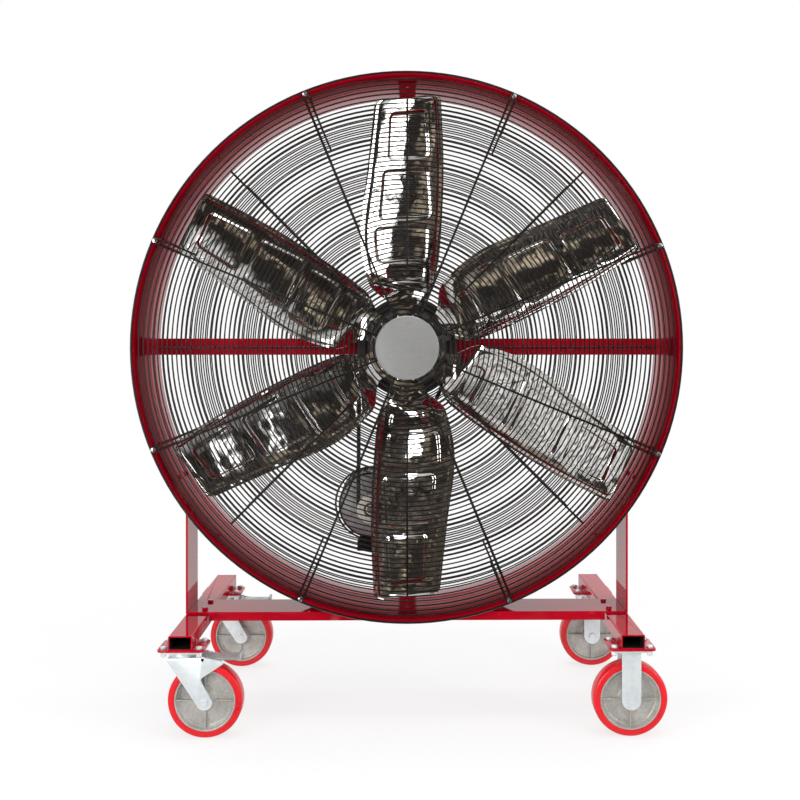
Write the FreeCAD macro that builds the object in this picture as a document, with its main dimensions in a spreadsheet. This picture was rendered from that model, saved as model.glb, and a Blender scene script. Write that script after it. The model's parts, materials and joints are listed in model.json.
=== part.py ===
import FreeCAD, Part
import math
import os
import re
import Sketcher
from FreeCAD import Placement, Rotation, Vector

doc = FreeCAD.newDocument("floor_fan")
sheet = doc.addObject("Spreadsheet::Sheet", "sizes")

# Every size in millimetres and every angle in degrees. X is right, Y is back, Z is up.
driving = {
    # two leg tubes under the cradle
    "leg_length": 762,
    "leg_width": 63.5,
    "leg_height": 38.1,
    "leg_wall": 3.2,
    "leg_inset": 0.5,
    # caster pads welded under the leg ends
    "pad_width": 127,
    "pad_depth": 114,
    "pad_thick": 6.35,
    # cradle: channel across the legs, uprights, saddles under the drum
    "channel_inset": 244,
    "channel_width": 152.4,
    "channel_thick": 6,
    "channel_drop": 25.4,
    "channel_end_gap": 3,
    "upright_thick": 6,
    "saddle_thick": 6,
    "saddle_span": 16,
    "saddle_bolt_angle": 4.5,
    "saddle_bolt_spacing": 100,
    "base_bolt_radius": 5,
    "base_bolt_inset": 18,
    "base_bolt_spacing": 90,
    # drum
    "drum_radius": 762,
    "drum_wall": 3,
    "drum_front_reach": 228,
    "rear_room": 1,
    "rim_width": 13,
    "rim_thick": 4,
    "drum_bolt_radius": 4,
    "nut_access": 3,
    # struts across the drum and the straps along its wall
    "strut_height": 50,
    "strut_depth": 25,
    "strut_wall": 3,
    "strut_y": 10,
    "strap_length": 215,
    "strap_thick": 4,
    "strap_seat": 0.5,
    # bearings and fan shaft
    "shaft_radius": 14.3,
    "shaft_length": 222,
    "shaft_front": -142,
    "shaft_fit": 0.05,
    "shaft_hole": 5,
    "flange_length": 136,
    "flange_width": 46,
    "flange_thick": 12,
    "boss_radius": 31,
    "boss_length": 21,
    "bearing_bolt_radius": 5,
    "bearing_bolt_spacing": 104,
    # rotor
    "hub_radius": 110,
    "hub_thick": 8,
    "hub_back": -115,
    "sleeve_radius": 32,
    "sleeve_front": 10,
    "sleeve_back": 70,
    "blade_count": 6,
    "blade_thick": 2.2,
    "blade_tip": 728,
    "blade_root": 62,
    "blade_foot": 112,
    "blade_foot_chord": 84,
    "blade_foot_bow": 0.3,
    "blade_tip_chord": 206,
    "blade_tip_pitch": 23,
    "blade_tip_shift": 0,
    "blade_mid_chord": 262,
    "blade_mid_pitch": 26,
    "blade_mid_shift": 9,
    "blade_inner_chord": 265,
    "blade_inner_pitch": 27,
    "blade_inner_shift": 25,
    "blade_neck_chord": 218,
    "blade_neck_pitch": 27,
    "blade_neck_shift": 19,
    "blade_camber": 0.07,
    "blade_tip_round": 28,
    "blade_bolt_radius": 4,
    "blade_bolt_ring": 92,
    "blade_bolt_spacing": 44,
    # belt drive
    "belt_y": -31,
    "belt_width": 17,
    "belt_height": 11,
    "belt_taper": 20,
    "belt_fit": 0.35,
    "belt_proud": 1,
    "sheave_width": 26,
    "sheave_web": 10,
    "sheave_rim": 12,
    "sheave_hub_radius": 44,
    "fan_sheave_radius": 149,
    "motor_sheave_radius": 41,
    # motor
    "motor_x": -110,
    "motor_drop": 486,
    "motor_radius": 101,
    "motor_gap": 1,
    "bell_length": 15,
    "bell_boss_radius": 38,
    "bell_boss_length": 8,
    "shell_length": 140,
    "cover_length": 35,
    "motor_shaft_radius": 11.1,
    "motor_shaft_front": -46,
    "motor_shaft_reach": 30,
    "foot_width": 72,
    "foot_length": 32,
    "foot_height": 8,
    "foot_gap": 2,
    "mount_left": -153,
    "mount_clear": 2,
    "mount_thick": 6,
    "mount_lip": 29,
    "motor_bolt_radius": 4,
    "box_width": 52,
    "box_depth": 62,
    "box_back": 4,
    "box_height": 70,
    "box_wall": 2,
    "cable_hole": 11.1,
    # guards
    "ring_wire": 2,
    "radial_wire": 3,
    "rim_wire": 3,
    "guard_inner": 64,
    "guard_pitch": 13.5,
    "guard_edge": 12,
    "guard_dish": 40,
    "motor_hoop": 11,
    "rim_ring_inset": 0,
    "guard_spokes": 8,
    "double_spacing": 14,
    "double_length": 165,
    "single_inner": 227,
    "single_outer": 700,
    "guard_bolt_radius": 3,
    "guard_bolt_inset": 7,
    "washer_radius": 8,
    "washer_thick": 1.6,
    "washer_lift": 0.7,
    "plate_radius": 89,
    "plate_thick": 2.5,
    # casters
    "caster_height": 241.3,
    "caster_plate_width": 114,
    "caster_plate_depth": 102,
    "caster_plate_thick": 6,
    "caster_bolt_radius": 5,
    "caster_bolt_across": 96,
    "caster_bolt_along": 80,
    "wheel_headroom": 38.1,
    "tyre_width": 50.8,
    "tyre_thick": 16,
    "tyre_round": 5,
    "core_rim": 12,
    "core_hub_radius": 24,
    "core_hub_width": 58,
    "core_web": 12,
    "core_rib": 8,
    "core_rib_width": 40,
    "axle_radius": 10,
    "axle_fit": 0.05,
    "fork_gap": 62,
    "fork_thick": 5,
    "fork_end_radius": 25,
    "rigid_fork_width": 74,
    "trail": 60,
    "crown_thick": 6,
    "crown_front": 40,
    "crown_back": 46,
    "arm_reach": 52,
    "arm_notch": 14,
    "arm_rise": 60,
    "arm_depth": 11,
    "race_radius": 36,
    "race_gap": 0.3,
    "race_height": 16,
    "kingpin_radius": 8,
    "kingpin_fit": 0.05,
    "kingpin_head": 12,
    "kingpin_head_radius": 15,
    "pedal_pivot_x": 56,
    "pedal_ear_radius": 8.5,
    "pedal_length": 100,
    "pedal_width": 52,
    "pedal_thick": 6,
    "pedal_toe": 12,
    "pedal_pin_radius": 4,
    "pedal_pin_fit": 0.3,
    "pedal_boss_radius": 8,
    "bolt_hole_fit": 0.3,
}
for row, (alias, number) in enumerate(driving.items(), start=1):
    sheet.set("A%d" % row, alias)
    sheet.set("B%d" % row, str(number))
    sheet.setAlias("B%d" % row, alias)
doc.recompute()

# Sizes that follow from the ones above: the cradle from the drum, the drum from what stands in it,
# the wheel from the height of its caster.
derived = {
    "channel_length": "2 * drum_radius - channel_inset",
    "leg_spacing": "channel_length - leg_width - leg_inset",
    "drum_depth": "drum_front_reach + 2 * strut_depth + boss_length + rear_room",
    "cradle_y": "strut_y - drum_front_reach + drum_depth / 2",
    "mount_depth": "strut_depth + boss_length + rear_room - mount_clear",
    "wheel_radius": "(caster_height - wheel_headroom) / 2",
}

kept = []
to_y = Rotation(Vector(1, 0, 0), -90)
upright_z = Rotation()


def named(expression):
    def prefix(match):
        word = match.group(0)
        if word in derived:
            return "(%s)" % named(derived[word])
        return "sizes." + word if word in driving else word
    return re.sub(r"[a-z_][a-z0-9_]*", prefix, str(expression))


def value(expression):
    return float(sheet.evalExpression(named(expression)))


def bind(item, **sizes):
    for prop, expression in sizes.items():
        item.setExpression(prop, named(expression))
    return item


def place(item, where, turn=upright_z):
    item.Placement = Placement(Vector(), turn)
    for axis, expression in zip("xyz", where):
        item.setExpression("Placement.Base." + axis, named(expression))
    return item


def box(name, sides, corner):
    item = doc.addObject("Part::Box", name)
    bind(item, Length=sides[0], Width=sides[1], Height=sides[2])
    return place(item, corner)


def rod(name, radius, length, start, turn=to_y):
    item = doc.addObject("Part::Cylinder", name)
    bind(item, Radius=radius, Height=length)
    return place(item, start, turn)


def group(name, items):
    item = doc.addObject("Part::Compound", name)
    item.Links = items
    return item


def fuse(name, items):
    item = doc.addObject("Part::MultiFuse", name)
    item.Shapes = items
    item.Refine = True
    return item


def cut(name, base, tools):
    item = doc.addObject("Part::Cut", name)
    item.Base = base
    item.Tool = tools[0] if len(tools) == 1 else group(name + "_tools", tools)
    return item


def keep(item):
    kept.append(item)
    return item


def free(name, shape):
    item = doc.addObject("Part::Feature", name)
    item.Shape = shape
    return item


def outline(body, plane, points, name):
    sketch = body.newObject("Sketcher::SketchObject", name)
    face = [part for part in body.Origin.OriginFeatures if part.Role == plane][0]
    sketch.AttachmentSupport = [(face, "")]
    sketch.MapMode = "FlatFace"
    corners = [Vector(value(across), value(along), 0) for across, along in points]
    last = len(corners)
    for index, corner in enumerate(corners):
        sketch.addGeometry(Part.LineSegment(corner, corners[(index + 1) % last]), False)
    for index in range(last):
        sketch.addConstraint(Sketcher.Constraint("Coincident", index, 2, (index + 1) % last, 1))
    for index, point in enumerate(points):
        for kind, size, expression in zip(("DistanceX", "DistanceY"), corners[index], point):
            place_in_list = sketch.addConstraint(Sketcher.Constraint(kind, -1, 1, index, 1, size))
            sketch.setExpression("Constraints[%d]" % place_in_list, named(expression))
    return sketch


def turned(name, points, where, turn=to_y):
    # points are (radius, distance along the axis)
    body = doc.addObject("PartDesign::Body", name)
    sketch = outline(body, "XZ_Plane", points, name + "_profile")
    solid = body.newObject("PartDesign::Revolution", name + "_turn")
    solid.Profile = sketch
    solid.ReferenceAxis = (sketch, ["V_Axis"])
    solid.Angle = 360
    body.Tip = solid
    return place(body, where, turn)


def plate(name, points, thick, where):
    # points are (X, Z); the plate grows from its Y towards the front
    body = doc.addObject("PartDesign::Body", name)
    sketch = outline(body, "XZ_Plane", points, name + "_outline")
    solid = body.newObject("PartDesign::Pad", name + "_pad")
    solid.Profile = sketch
    bind(solid, Length=thick)
    body.Tip = solid
    return place(body, where)


def bolt(name, radius, grip, start, turn, nut=True):
    # head behind the start point, shank along the turned Z axis, nut past the grip unless it is a screw
    def part_of(tail, part_radius, first, last):
        item = doc.addObject("Part::Cylinder", name + tail)
        bind(item, Radius=part_radius, Height="(%s) - (%s)" % (last, first))
        way = turn.multVec(Vector(0, 0, 1))
        shifted = ["%s + (%s) * (%.9f)" % (base, first, step) for base, step in zip(start, way)]
        return place(item, shifted, turn)
    head = part_of("_head", "1.7 * " + radius, "-1.3 * " + radius, "0")
    if not nut:
        return fuse(name, [head, part_of("_shank", radius, "-0.5 * " + radius, grip)])
    shank = part_of("_shank", radius, "-0.5 * " + radius, "(%s) + 2 * %s" % (grip, radius))
    end_nut = part_of("_nut", "1.7 * " + radius, grip, "(%s) + 1.6 * %s" % (grip, radius))
    return fuse(name, [head, shank, end_nut])


def bolt_hole(name, radius, grip, start, turn):
    way = turn.multVec(Vector(0, 0, 1))
    shifted = ["%s - 10 * (%.9f)" % (base, step) for base, step in zip(start, way)]
    return rod(name, radius + " + bolt_hole_fit", "(%s) + 20" % grip, shifted, turn)


# Heights and places that several pieces share.
leg_bottom = "(caster_height + pad_thick)"
leg_top = "(caster_height + pad_thick + leg_height)"
channel_top = "(caster_height + pad_thick + leg_height + channel_thick)"
skin = "(drum_radius + drum_wall)"
hub_z = "(%s + %s)" % (channel_top, skin)
drum_front = "(cradle_y - drum_depth / 2)"
drum_back = "(cradle_y + drum_depth / 2)"
caster_y = "(leg_length / 2 - pad_depth / 2)"
sides = {"left": -1, "right": 1}
ends = {"front": -1, "rear": 1}


def leg_x(side):
    return "(%d * leg_spacing / 2)" % sides[side]


# Legs and cradle.
base_bolt_places = []
for side in sides:
    for end in ends:
        across = "%s - %d * base_bolt_inset" % (leg_x(side), sides[side])
        along = "cradle_y + %d * base_bolt_spacing / 2" % ends[end]
        base_bolt_places.append((side, end, across, along))

down = Rotation(Vector(1, 0, 0), 180)
base_bolts = []
for side, end, across, along in base_bolt_places:
    base_bolts.append(bolt("base_bolt_%s_%s" % (side, end), "base_bolt_radius",
                           "channel_thick + leg_wall", (across, along, channel_top), down))
keep(group("base_bolts", base_bolts))

for side in sides:
    name = side + "_leg_tube"
    outer = box(name + "_outer", ("leg_width", "leg_length", "leg_height"),
                (leg_x(side) + " - leg_width / 2", "-leg_length / 2", leg_bottom))
    inner = box(name + "_inner",
                ("leg_width - 2 * leg_wall", "leg_length + 20", "leg_height - 2 * leg_wall"),
                (leg_x(side) + " - leg_width / 2 + leg_wall", "-leg_length / 2 - 10",
                 leg_bottom + " + leg_wall"))
    tools = [inner]
    for bolt_side, end, across, along in base_bolt_places:
        if bolt_side == side:
            tools.append(rod("%s_hole_%s" % (name, end), "base_bolt_radius + bolt_hole_fit",
                             "leg_wall + 2", (across, along, leg_top + " - leg_wall - 1"), upright_z))
    keep(cut(name, outer, tools))

web = box("channel_web", ("channel_length", "channel_width", "channel_thick"),
          ("-channel_length / 2", "cradle_y - channel_width / 2", leg_top))
flange_length = "(leg_spacing - leg_width - 2 * channel_end_gap)"
flanges = []
for end, offset in (("front", "-channel_width / 2"), ("rear", "channel_width / 2 - channel_thick")):
    flanges.append(box("channel_flange_" + end, (flange_length, "channel_thick", "channel_drop"),
                       ("-%s / 2" % flange_length, "cradle_y + " + offset,
                        channel_top + " - channel_drop")))
channel = fuse("channel_blank", [web] + flanges)
holes = [bolt_hole("channel_hole_%s_%s" % (side, end), "base_bolt_radius", "channel_thick",
                   (across, along, channel_top), down)
         for side, end, across, along in base_bolt_places]
strap_back = "(strut_y + 2 * strut_depth)"
strap_bolt_rows = {"front": strap_back + " - strap_length + strut_depth",
                   "rear": "strut_y - 2 * strut_depth"}
for end, along in strap_bolt_rows.items():
    holes.append(rod("channel_access_" + end, "1.7 * drum_bolt_radius + nut_access", "3 * channel_thick",
                     ("0", along, leg_top + " - channel_thick"), upright_z))
keep(cut("cross_channel", channel, holes))

saddle_back = "(%s + saddle_thick)" % skin
for side in sides:
    name = side + "_upright"
    near_x = "channel_length / 2 - upright_thick" if side == "right" else "-channel_length / 2"
    blank = box(name + "_blank", ("upright_thick", "channel_width", "%s / 2" % skin),
                (near_x, "cradle_y - channel_width / 2", channel_top))
    clear = rod(name + "_clear", saddle_back, "channel_width + 20",
                ("0", "cradle_y - channel_width / 2 - 10", hub_z))
    keep(cut(name, blank, [clear]))

upright_reach = value("channel_length / 2 - upright_thick / 2")
saddle_angle = math.degrees(math.acos(upright_reach / value(saddle_back)))


def around(angle):
    # local Z along Y, local X at this angle below the right-hand horizontal
    return to_y * Rotation(Vector(0, 0, 1), angle)


def outward(angle):
    # local Z points out of the drum at this angle below the right-hand horizontal
    lean = math.radians(angle)
    return Rotation(Vector(0, 0, 1), Vector(math.cos(lean), 0, -math.sin(lean)))


def on_drum(radius, angle, along):
    lean = math.radians(angle)
    return ("(%s) * (%.9f)" % (radius, math.cos(lean)), along,
            "%s - (%s) * (%.9f)" % (hub_z, radius, math.sin(lean)))


# Bolts through the drum wall: two in each saddle, two in each strap.
drum_bolts = []
drum_holes = []
saddles = []
for side in sides:
    centre = saddle_angle if side == "right" else 180 - saddle_angle
    first = around(centre - value("saddle_span") / 2)
    name = side + "_saddle"
    outer = rod(name + "_outer", saddle_back, "channel_width",
                ("0", "cradle_y - channel_width / 2", hub_z), first)
    inner = rod(name + "_inner", skin, "channel_width + 20",
                ("0", "cradle_y - channel_width / 2 - 10", hub_z), to_y)
    bind(outer, Angle="saddle_span")
    bolt_angle = centre - value("saddle_bolt_angle") * sides[side]
    tools = [inner]
    for end in ends:
        along = "cradle_y + %d * saddle_bolt_spacing / 2" % ends[end]
        start = on_drum("drum_radius", bolt_angle, along)
        grip = "drum_wall + saddle_thick"
        tag = "%s_%s" % (side, end)
        tools.append(bolt_hole("saddle_hole_" + tag, "drum_bolt_radius", grip, start, outward(bolt_angle)))
        drum_holes.append(bolt_hole("wall_hole_" + tag, "drum_bolt_radius", grip, start,
                                    outward(bolt_angle)))
        drum_bolts.append(bolt("saddle_bolt_" + tag, "drum_bolt_radius", grip, start,
                               outward(bolt_angle)))
    saddles.append(cut(name, outer, tools))
keep(group("drum_saddles", saddles))

# Straps that lie along the drum wall at the ends of the struts.
strap_face = "(sqrt(drum_radius * drum_radius - strut_height * strut_height / 4) - strap_seat)"
straps = []
for index, angle in enumerate((0, 90, 180, 270)):
    name = "strap_%d" % (index + 1)
    way = Vector(round(math.cos(math.radians(angle))), 0, -round(math.sin(math.radians(angle))))
    if way.x:
        corner = (strap_face + " - strap_thick" if way.x > 0 else "-" + strap_face,
                  strap_back + " - strap_length", hub_z + " - strut_height / 2")
        blank = box(name + "_blank", ("strap_thick", "strap_length", "strut_height"), corner)
    else:
        rise = hub_z + (" + %s - strap_thick" if way.z > 0 else " - %s") % strap_face
        blank = box(name + "_blank", ("strut_height", "strap_length", "strap_thick"),
                    ("-strut_height / 2", strap_back + " - strap_length", rise))
    tools = []
    for end, along in strap_bolt_rows.items():
        start = on_drum(strap_face + " - strap_thick", angle, along)
        grip = "strap_thick + drum_radius - %s + drum_wall" % strap_face
        tag = "%d_%s" % (index + 1, end)
        tools.append(bolt_hole("strap_hole_" + tag, "drum_bolt_radius", grip, start, outward(angle)))
        drum_holes.append(bolt_hole("wall_hole_" + tag, "drum_bolt_radius", grip, start, outward(angle)))
        drum_bolts.append(bolt("strap_bolt_" + tag, "drum_bolt_radius", grip, start, outward(angle)))
    straps.append(cut(name, blank, tools))
keep(group("strut_straps", straps))
keep(group("drum_bolts", drum_bolts))

# Drum: rolled skin with a turned-out rim at each end.
drum_skin = turned("drum_skin", [
    ("drum_radius", "0"),
    (skin + " + rim_width", "0"),
    (skin + " + rim_width", "rim_thick"),
    (skin, "rim_thick"),
    (skin, "drum_depth - rim_thick"),
    (skin + " + rim_width", "drum_depth - rim_thick"),
    (skin + " + rim_width", "drum_depth"),
    ("drum_radius", "drum_depth")], ("0", drum_front, hub_z))
spokes = int(value("guard_spokes"))
spoke_step = 360 / spokes
guard_bolt_ring = "(%s + rim_width - guard_bolt_inset)" % skin
bolt_lag = math.degrees(value("double_spacing") / 2 / value(guard_bolt_ring))
guard_bolts = []
forward = Rotation(Vector(1, 0, 0), 90)
for index in range(spokes):
    angle = spoke_step * (index + 0.5) + bolt_lag
    for end, turn, face in (("front", to_y, drum_front), ("rear", forward, drum_back)):
        sign = ends[end]
        stack = "(2 * radial_wire + washer_lift + washer_thick)"
        start = on_drum(guard_bolt_ring, angle, "%s + %d * %s" % (face, sign, stack))
        grip = stack + " + rim_thick"
        tag = "%s_%d" % (end, index + 1)
        drum_holes.append(bolt_hole("rim_hole_" + tag, "guard_bolt_radius", grip, start, turn))
        guard_bolts.append(bolt("guard_bolt_" + tag, "guard_bolt_radius", grip, start, turn))
        washer = rod("guard_washer_" + tag, "washer_radius", "washer_thick", start, turn)
        guard_bolts[-1].Shapes = guard_bolts[-1].Shapes + [washer]
keep(cut("drum", drum_skin, drum_holes))
keep(group("guard_bolts", guard_bolts))

# Struts: square-cut tubes that cross at the shaft.
strut_half = "(%s - strap_thick)" % strap_face
bearing_holes = {"front": [], "rear": []}
bearing_bolts = []
front_face = "(strut_y - flange_thick)"
rear_face = "(strut_y + 2 * strut_depth + flange_thick)"
for sign in (-1, 1):
    tag = "low" if sign < 0 else "high"
    shift = "%d * bearing_bolt_spacing / 2" % sign
    grip = "flange_thick + strut_depth"
    spots = (("front", ("0", front_face, hub_z + " + " + shift), to_y),
             ("rear", (shift, rear_face, hub_z), forward))
    for end, start, turn in spots:
        bearing_bolts.append(bolt("bearing_bolt_%s_%s" % (end, tag), "bearing_bolt_radius", grip,
                                  start, turn))
        for use in ("strut", "flange"):
            bearing_holes[end].append(bolt_hole("bearing_hole_%s_%s_%s" % (use, end, tag),
                                                "bearing_bolt_radius", grip, start, turn))
keep(group("bearing_bolts", bearing_bolts))

shaft_way = {use: rod("shaft_way_" + use, "shaft_radius + shaft_hole", "4 * strut_depth",
                      ("0", "strut_y - strut_depth", hub_z)) for use in ("upright", "level")}
tube = box("vertical_strut_outer", ("strut_height", "strut_depth", "2 * " + strut_half),
           ("-strut_height / 2", "strut_y", "%s - %s" % (hub_z, strut_half)))
bore = box("vertical_strut_bore",
           ("strut_height - 2 * strut_wall", "strut_depth - 2 * strut_wall", "2 * %s + 20" % strut_half),
           ("-strut_height / 2 + strut_wall", "strut_y + strut_wall", "%s - %s - 10" % (hub_z, strut_half)))
hollow = cut("vertical_strut_tube", tube, [bore])
mount_drop = "(motor_drop + motor_radius + foot_height + mount_lip / 2)"
mount_bolts = []
mount_holes = {"strut": [], "mount": []}
for sign in (-1, 1):
    start = ("%d * strut_height / 4" % sign, "strut_y", "%s - %s" % (hub_z, mount_drop))
    grip = "strut_depth + mount_thick"
    tag = "left" if sign < 0 else "right"
    mount_bolts.append(bolt("mount_bolt_" + tag, "motor_bolt_radius", grip, start, to_y))
    for use in mount_holes:
        mount_holes[use].append(bolt_hole("mount_hole_%s_%s" % (use, tag), "motor_bolt_radius", grip,
                                          start, to_y))
upright_holes = [shaft_way["upright"]] + bearing_holes["front"][::2] + mount_holes["strut"]
keep(cut("vertical_strut", hollow, upright_holes))

level_y = "(strut_y + strut_depth)"
tube = box("horizontal_strut_outer", ("2 * " + strut_half, "strut_depth", "strut_height"),
           ("-" + strut_half, level_y, hub_z + " - strut_height / 2"))
bore = box("horizontal_strut_bore",
           ("2 * %s + 20" % strut_half, "strut_depth - 2 * strut_wall", "strut_height - 2 * strut_wall"),
           ("-%s - 10" % strut_half, level_y + " + strut_wall", hub_z + " - strut_height / 2 + strut_wall"))
hollow = cut("horizontal_strut_tube", tube, [bore])
keep(cut("horizontal_strut", hollow, [shaft_way["level"]] + bearing_holes["rear"][::2]))

# Flange bearings in front of and behind the crossing.
for end in ends:
    name = end + "_bearing"
    if end == "front":
        flange = box(name + "_flange", ("flange_width", "flange_thick", "flange_length"),
                     ("-flange_width / 2", front_face, hub_z + " - flange_length / 2"))
        boss_start = "strut_y - boss_length"
    else:
        flange = box(name + "_flange", ("flange_length", "flange_thick", "flange_width"),
                     ("-flange_length / 2", rear_face + " - flange_thick", hub_z + " - flange_width / 2"))
        boss_start = "strut_y + 2 * strut_depth"
    boss = rod(name + "_boss", "boss_radius", "boss_length", ("0", boss_start, hub_z))
    body = fuse(name + "_body", [flange, boss])
    bore = rod(name + "_bore", "shaft_radius + shaft_fit", "boss_length + 20",
               ("0", boss_start + " - 10", hub_z))
    keep(cut(name, body, [bore] + bearing_holes[end][1::2]))

# Rotor: shaft, hub disc with sleeve, six blades, belt sheave.
keep(rod("fan_shaft", "shaft_radius", "shaft_length", ("0", "shaft_front", hub_z)))
blade_step = 360 / int(value("blade_count"))
foot_y = "(hub_back - hub_thick - blade_thick)"
blade_bolts = []
hub_holes = []
blade_turns = [Rotation(Vector(0, 1, 0), blade_step * index) for index in range(int(value("blade_count")))]
for index, turn in enumerate(blade_turns):
    for sign in (-1, 1):
        spot = turn.multVec(Vector(sign * value("blade_bolt_spacing") / 2, 0, value("blade_bolt_ring")))
        start = ("%.9f" % spot.x, foot_y + " - blade_foot_bow", "%s + (%.9f)" % (hub_z, spot.z))
        tag = "%d_%s" % (index + 1, "left" if sign < 0 else "right")
        grip = "hub_thick + blade_thick + blade_foot_bow"
        blade_bolts.append(bolt("blade_bolt_" + tag, "blade_bolt_radius", grip, start, to_y))
        hub_holes.append(bolt_hole("hub_hole_" + tag, "blade_bolt_radius", grip, start, to_y))
keep(group("blade_bolts", blade_bolts))
hub_blank = turned("hub_blank", [
    ("shaft_radius", "-hub_thick - sleeve_front"),
    ("sleeve_radius", "-hub_thick - sleeve_front"),
    ("sleeve_radius", "-hub_thick"),
    ("hub_radius", "-hub_thick"),
    ("hub_radius", "0"),
    ("sleeve_radius", "0"),
    ("sleeve_radius", "sleeve_back"),
    ("shaft_radius", "sleeve_back")], ("0", "hub_back", hub_z))
keep(cut("rotor_hub", hub_blank, hub_holes))


def blade_section(radius, chord, pitch, camber, middle, shift=0):
    # the chord sits further to the left of the blade's own radius by the shift
    lean = math.radians(pitch)
    along = Vector(math.cos(lean), -math.sin(lean), 0)
    behind = Vector(math.sin(lean), math.cos(lean), 0)
    centre = Vector(0, middle, radius) - along * shift
    thick = value("blade_thick")
    front = [centre - along * chord / 2, centre + behind * camber, centre + along * chord / 2]
    back = [point + behind * thick for point in front]
    edges = [Part.Arc(*front).toShape(), Part.makeLine(front[2], back[2]),
             Part.Arc(*reversed(back)).toShape(), Part.makeLine(back[0], front[0])]
    return Part.Wire(edges)


def blade_shape():
    tip = value("blade_tip")
    foot = value("blade_foot")
    middle = value(foot_y)
    bulge = value("blade_camber")
    flat = value("blade_foot_bow")
    seat = middle - flat
    reach = value("blade_mid_chord")
    sections = [blade_section(value("blade_root"), value("blade_foot_chord") * 0.85, 0, flat, seat),
                blade_section(foot, value("blade_foot_chord"), 0, flat, seat)]
    for share, zone in ((0.125, "neck"), (0.35, "inner"), (0.66, "mid"), (1, "tip")):
        chord = value("blade_%s_chord" % zone)
        sections.append(blade_section(foot + (tip - foot) * share, chord, value("blade_%s_pitch" % zone),
                                      chord * bulge, middle, value("blade_%s_shift" % zone)))
    root = Part.makeLoft(sections[:2], True, True)
    airfoil = Part.makeLoft(sections[1:], True, False)
    blade = root.fuse(airfoil).removeSplitter()
    round_off = value("blade_tip_round")
    edge_x = value("blade_tip_chord") / 2 * math.cos(math.radians(value("blade_tip_pitch")))
    for sign in (-1, 1):
        pivot = Vector(sign * (edge_x - round_off), middle - reach, tip - round_off)
        block = Part.makeBox(2 * round_off, 2 * reach, 2 * round_off,
                             pivot if sign > 0 else pivot - Vector(2 * round_off, 0, 0))
        quarter = Part.makeCylinder(round_off, 2 * reach, pivot, Vector(0, 1, 0))
        blade = blade.cut(block.cut(quarter))
    for sign in (-1, 1):
        hole = Part.makeCylinder(value("blade_bolt_radius + bolt_hole_fit"), reach,
                                 Vector(sign * value("blade_bolt_spacing") / 2, middle - reach / 2,
                                        value("blade_bolt_ring")), Vector(0, 1, 0))
        blade = blade.cut(hole)
    return blade


blade = blade_shape()
for index, turn in enumerate(blade_turns):
    item = keep(free("blade_%d" % (index + 1), blade))
    item.Placement = Placement(Vector(0, 0, value(hub_z)), turn)

# Belt drive. The belt is a tapered loop round both sheaves.
taper = math.tan(math.radians(value("belt_taper")))
groove_top = "(belt_width / 2 + belt_fit)"
groove_depth = "(belt_height - belt_proud + 1.5)"
groove_bottom = "(%s - (%s + belt_proud) * %.9f)" % (groove_top, groove_depth, taper)
groove_mouth = "(%s - belt_proud * %.9f)" % (groove_top, taper)


def sheave(radius, bore_radius, hub_radius=None, rim=None, web_half=None):
    half = "sheave_width / 2"
    points = [(bore_radius, "-" + half)]
    if hub_radius:
        points += [(hub_radius, "-" + half), (hub_radius, "-" + web_half), (rim, "-" + web_half),
                   (rim, "-" + half)]
    points += [(radius, "-" + half), (radius, "-" + groove_mouth),
               ("%s - %s" % (radius, groove_depth), "-" + groove_bottom),
               ("%s - %s" % (radius, groove_depth), groove_bottom), (radius, groove_mouth), (radius, half)]
    if hub_radius:
        points += [(rim, half), (rim, web_half), (hub_radius, web_half), (hub_radius, half)]
    points.append((bore_radius, half))
    return points


motor_z = "(%s - motor_drop)" % hub_z
rim_inside = "(fan_sheave_radius - %s - sheave_rim)" % groove_depth
keep(turned("hub_sheave", sheave("fan_sheave_radius", "shaft_radius", "sheave_hub_radius", rim_inside,
                                 "sheave_web / 2"), ("0", "belt_y", hub_z)))
keep(turned("motor_sheave", sheave("motor_sheave_radius", "motor_shaft_radius"),
            ("motor_x", "belt_y", motor_z)))


def belt_shape():
    # spine at the belt's top face, in the plane of both sheaves
    big = value("fan_sheave_radius + belt_proud")
    small = value("motor_sheave_radius + belt_proud")
    top = Vector(0, 0, value(hub_z))
    low = Vector(value("motor_x"), 0, value(motor_z))
    down_way = low - top
    distance = down_way.Length
    down_way.normalize()
    side_way = Vector(-down_way.z, 0, down_way.x)
    lean = math.asin((big - small) / distance)

    def at(centre, radius, angle):
        return centre + (down_way * math.sin(angle) + side_way * math.cos(angle)) * radius

    half_turn = math.pi - lean
    right_top, right_low = at(top, big, lean), at(low, small, lean)
    left_top, left_low = at(top, big, half_turn), at(low, small, half_turn)
    spine = Part.Wire([Part.makeLine(right_top, right_low),
                       Part.Arc(right_low, at(low, small, math.pi / 2), left_low).toShape(),
                       Part.makeLine(left_low, left_top),
                       Part.Arc(left_top, at(top, big, -math.pi / 2), right_top).toShape()])
    inward = (at(top, 1, lean) - top) * -value("belt_height")
    wide = Vector(0, value("belt_width") / 2, 0)
    narrow = Vector(0, value("belt_width") / 2 - value("belt_height") * taper, 0)
    corners = [right_top - wide, right_top + wide, right_top + inward + narrow, right_top + inward - narrow]
    section = Part.makePolygon(corners + corners[:1])
    loop = spine.makePipeShell([section], True, True)
    return loop


belt = keep(free("v_belt", belt_shape()))
belt.Placement = Placement(Vector(0, value("belt_y"), 0), Rotation())

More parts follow.
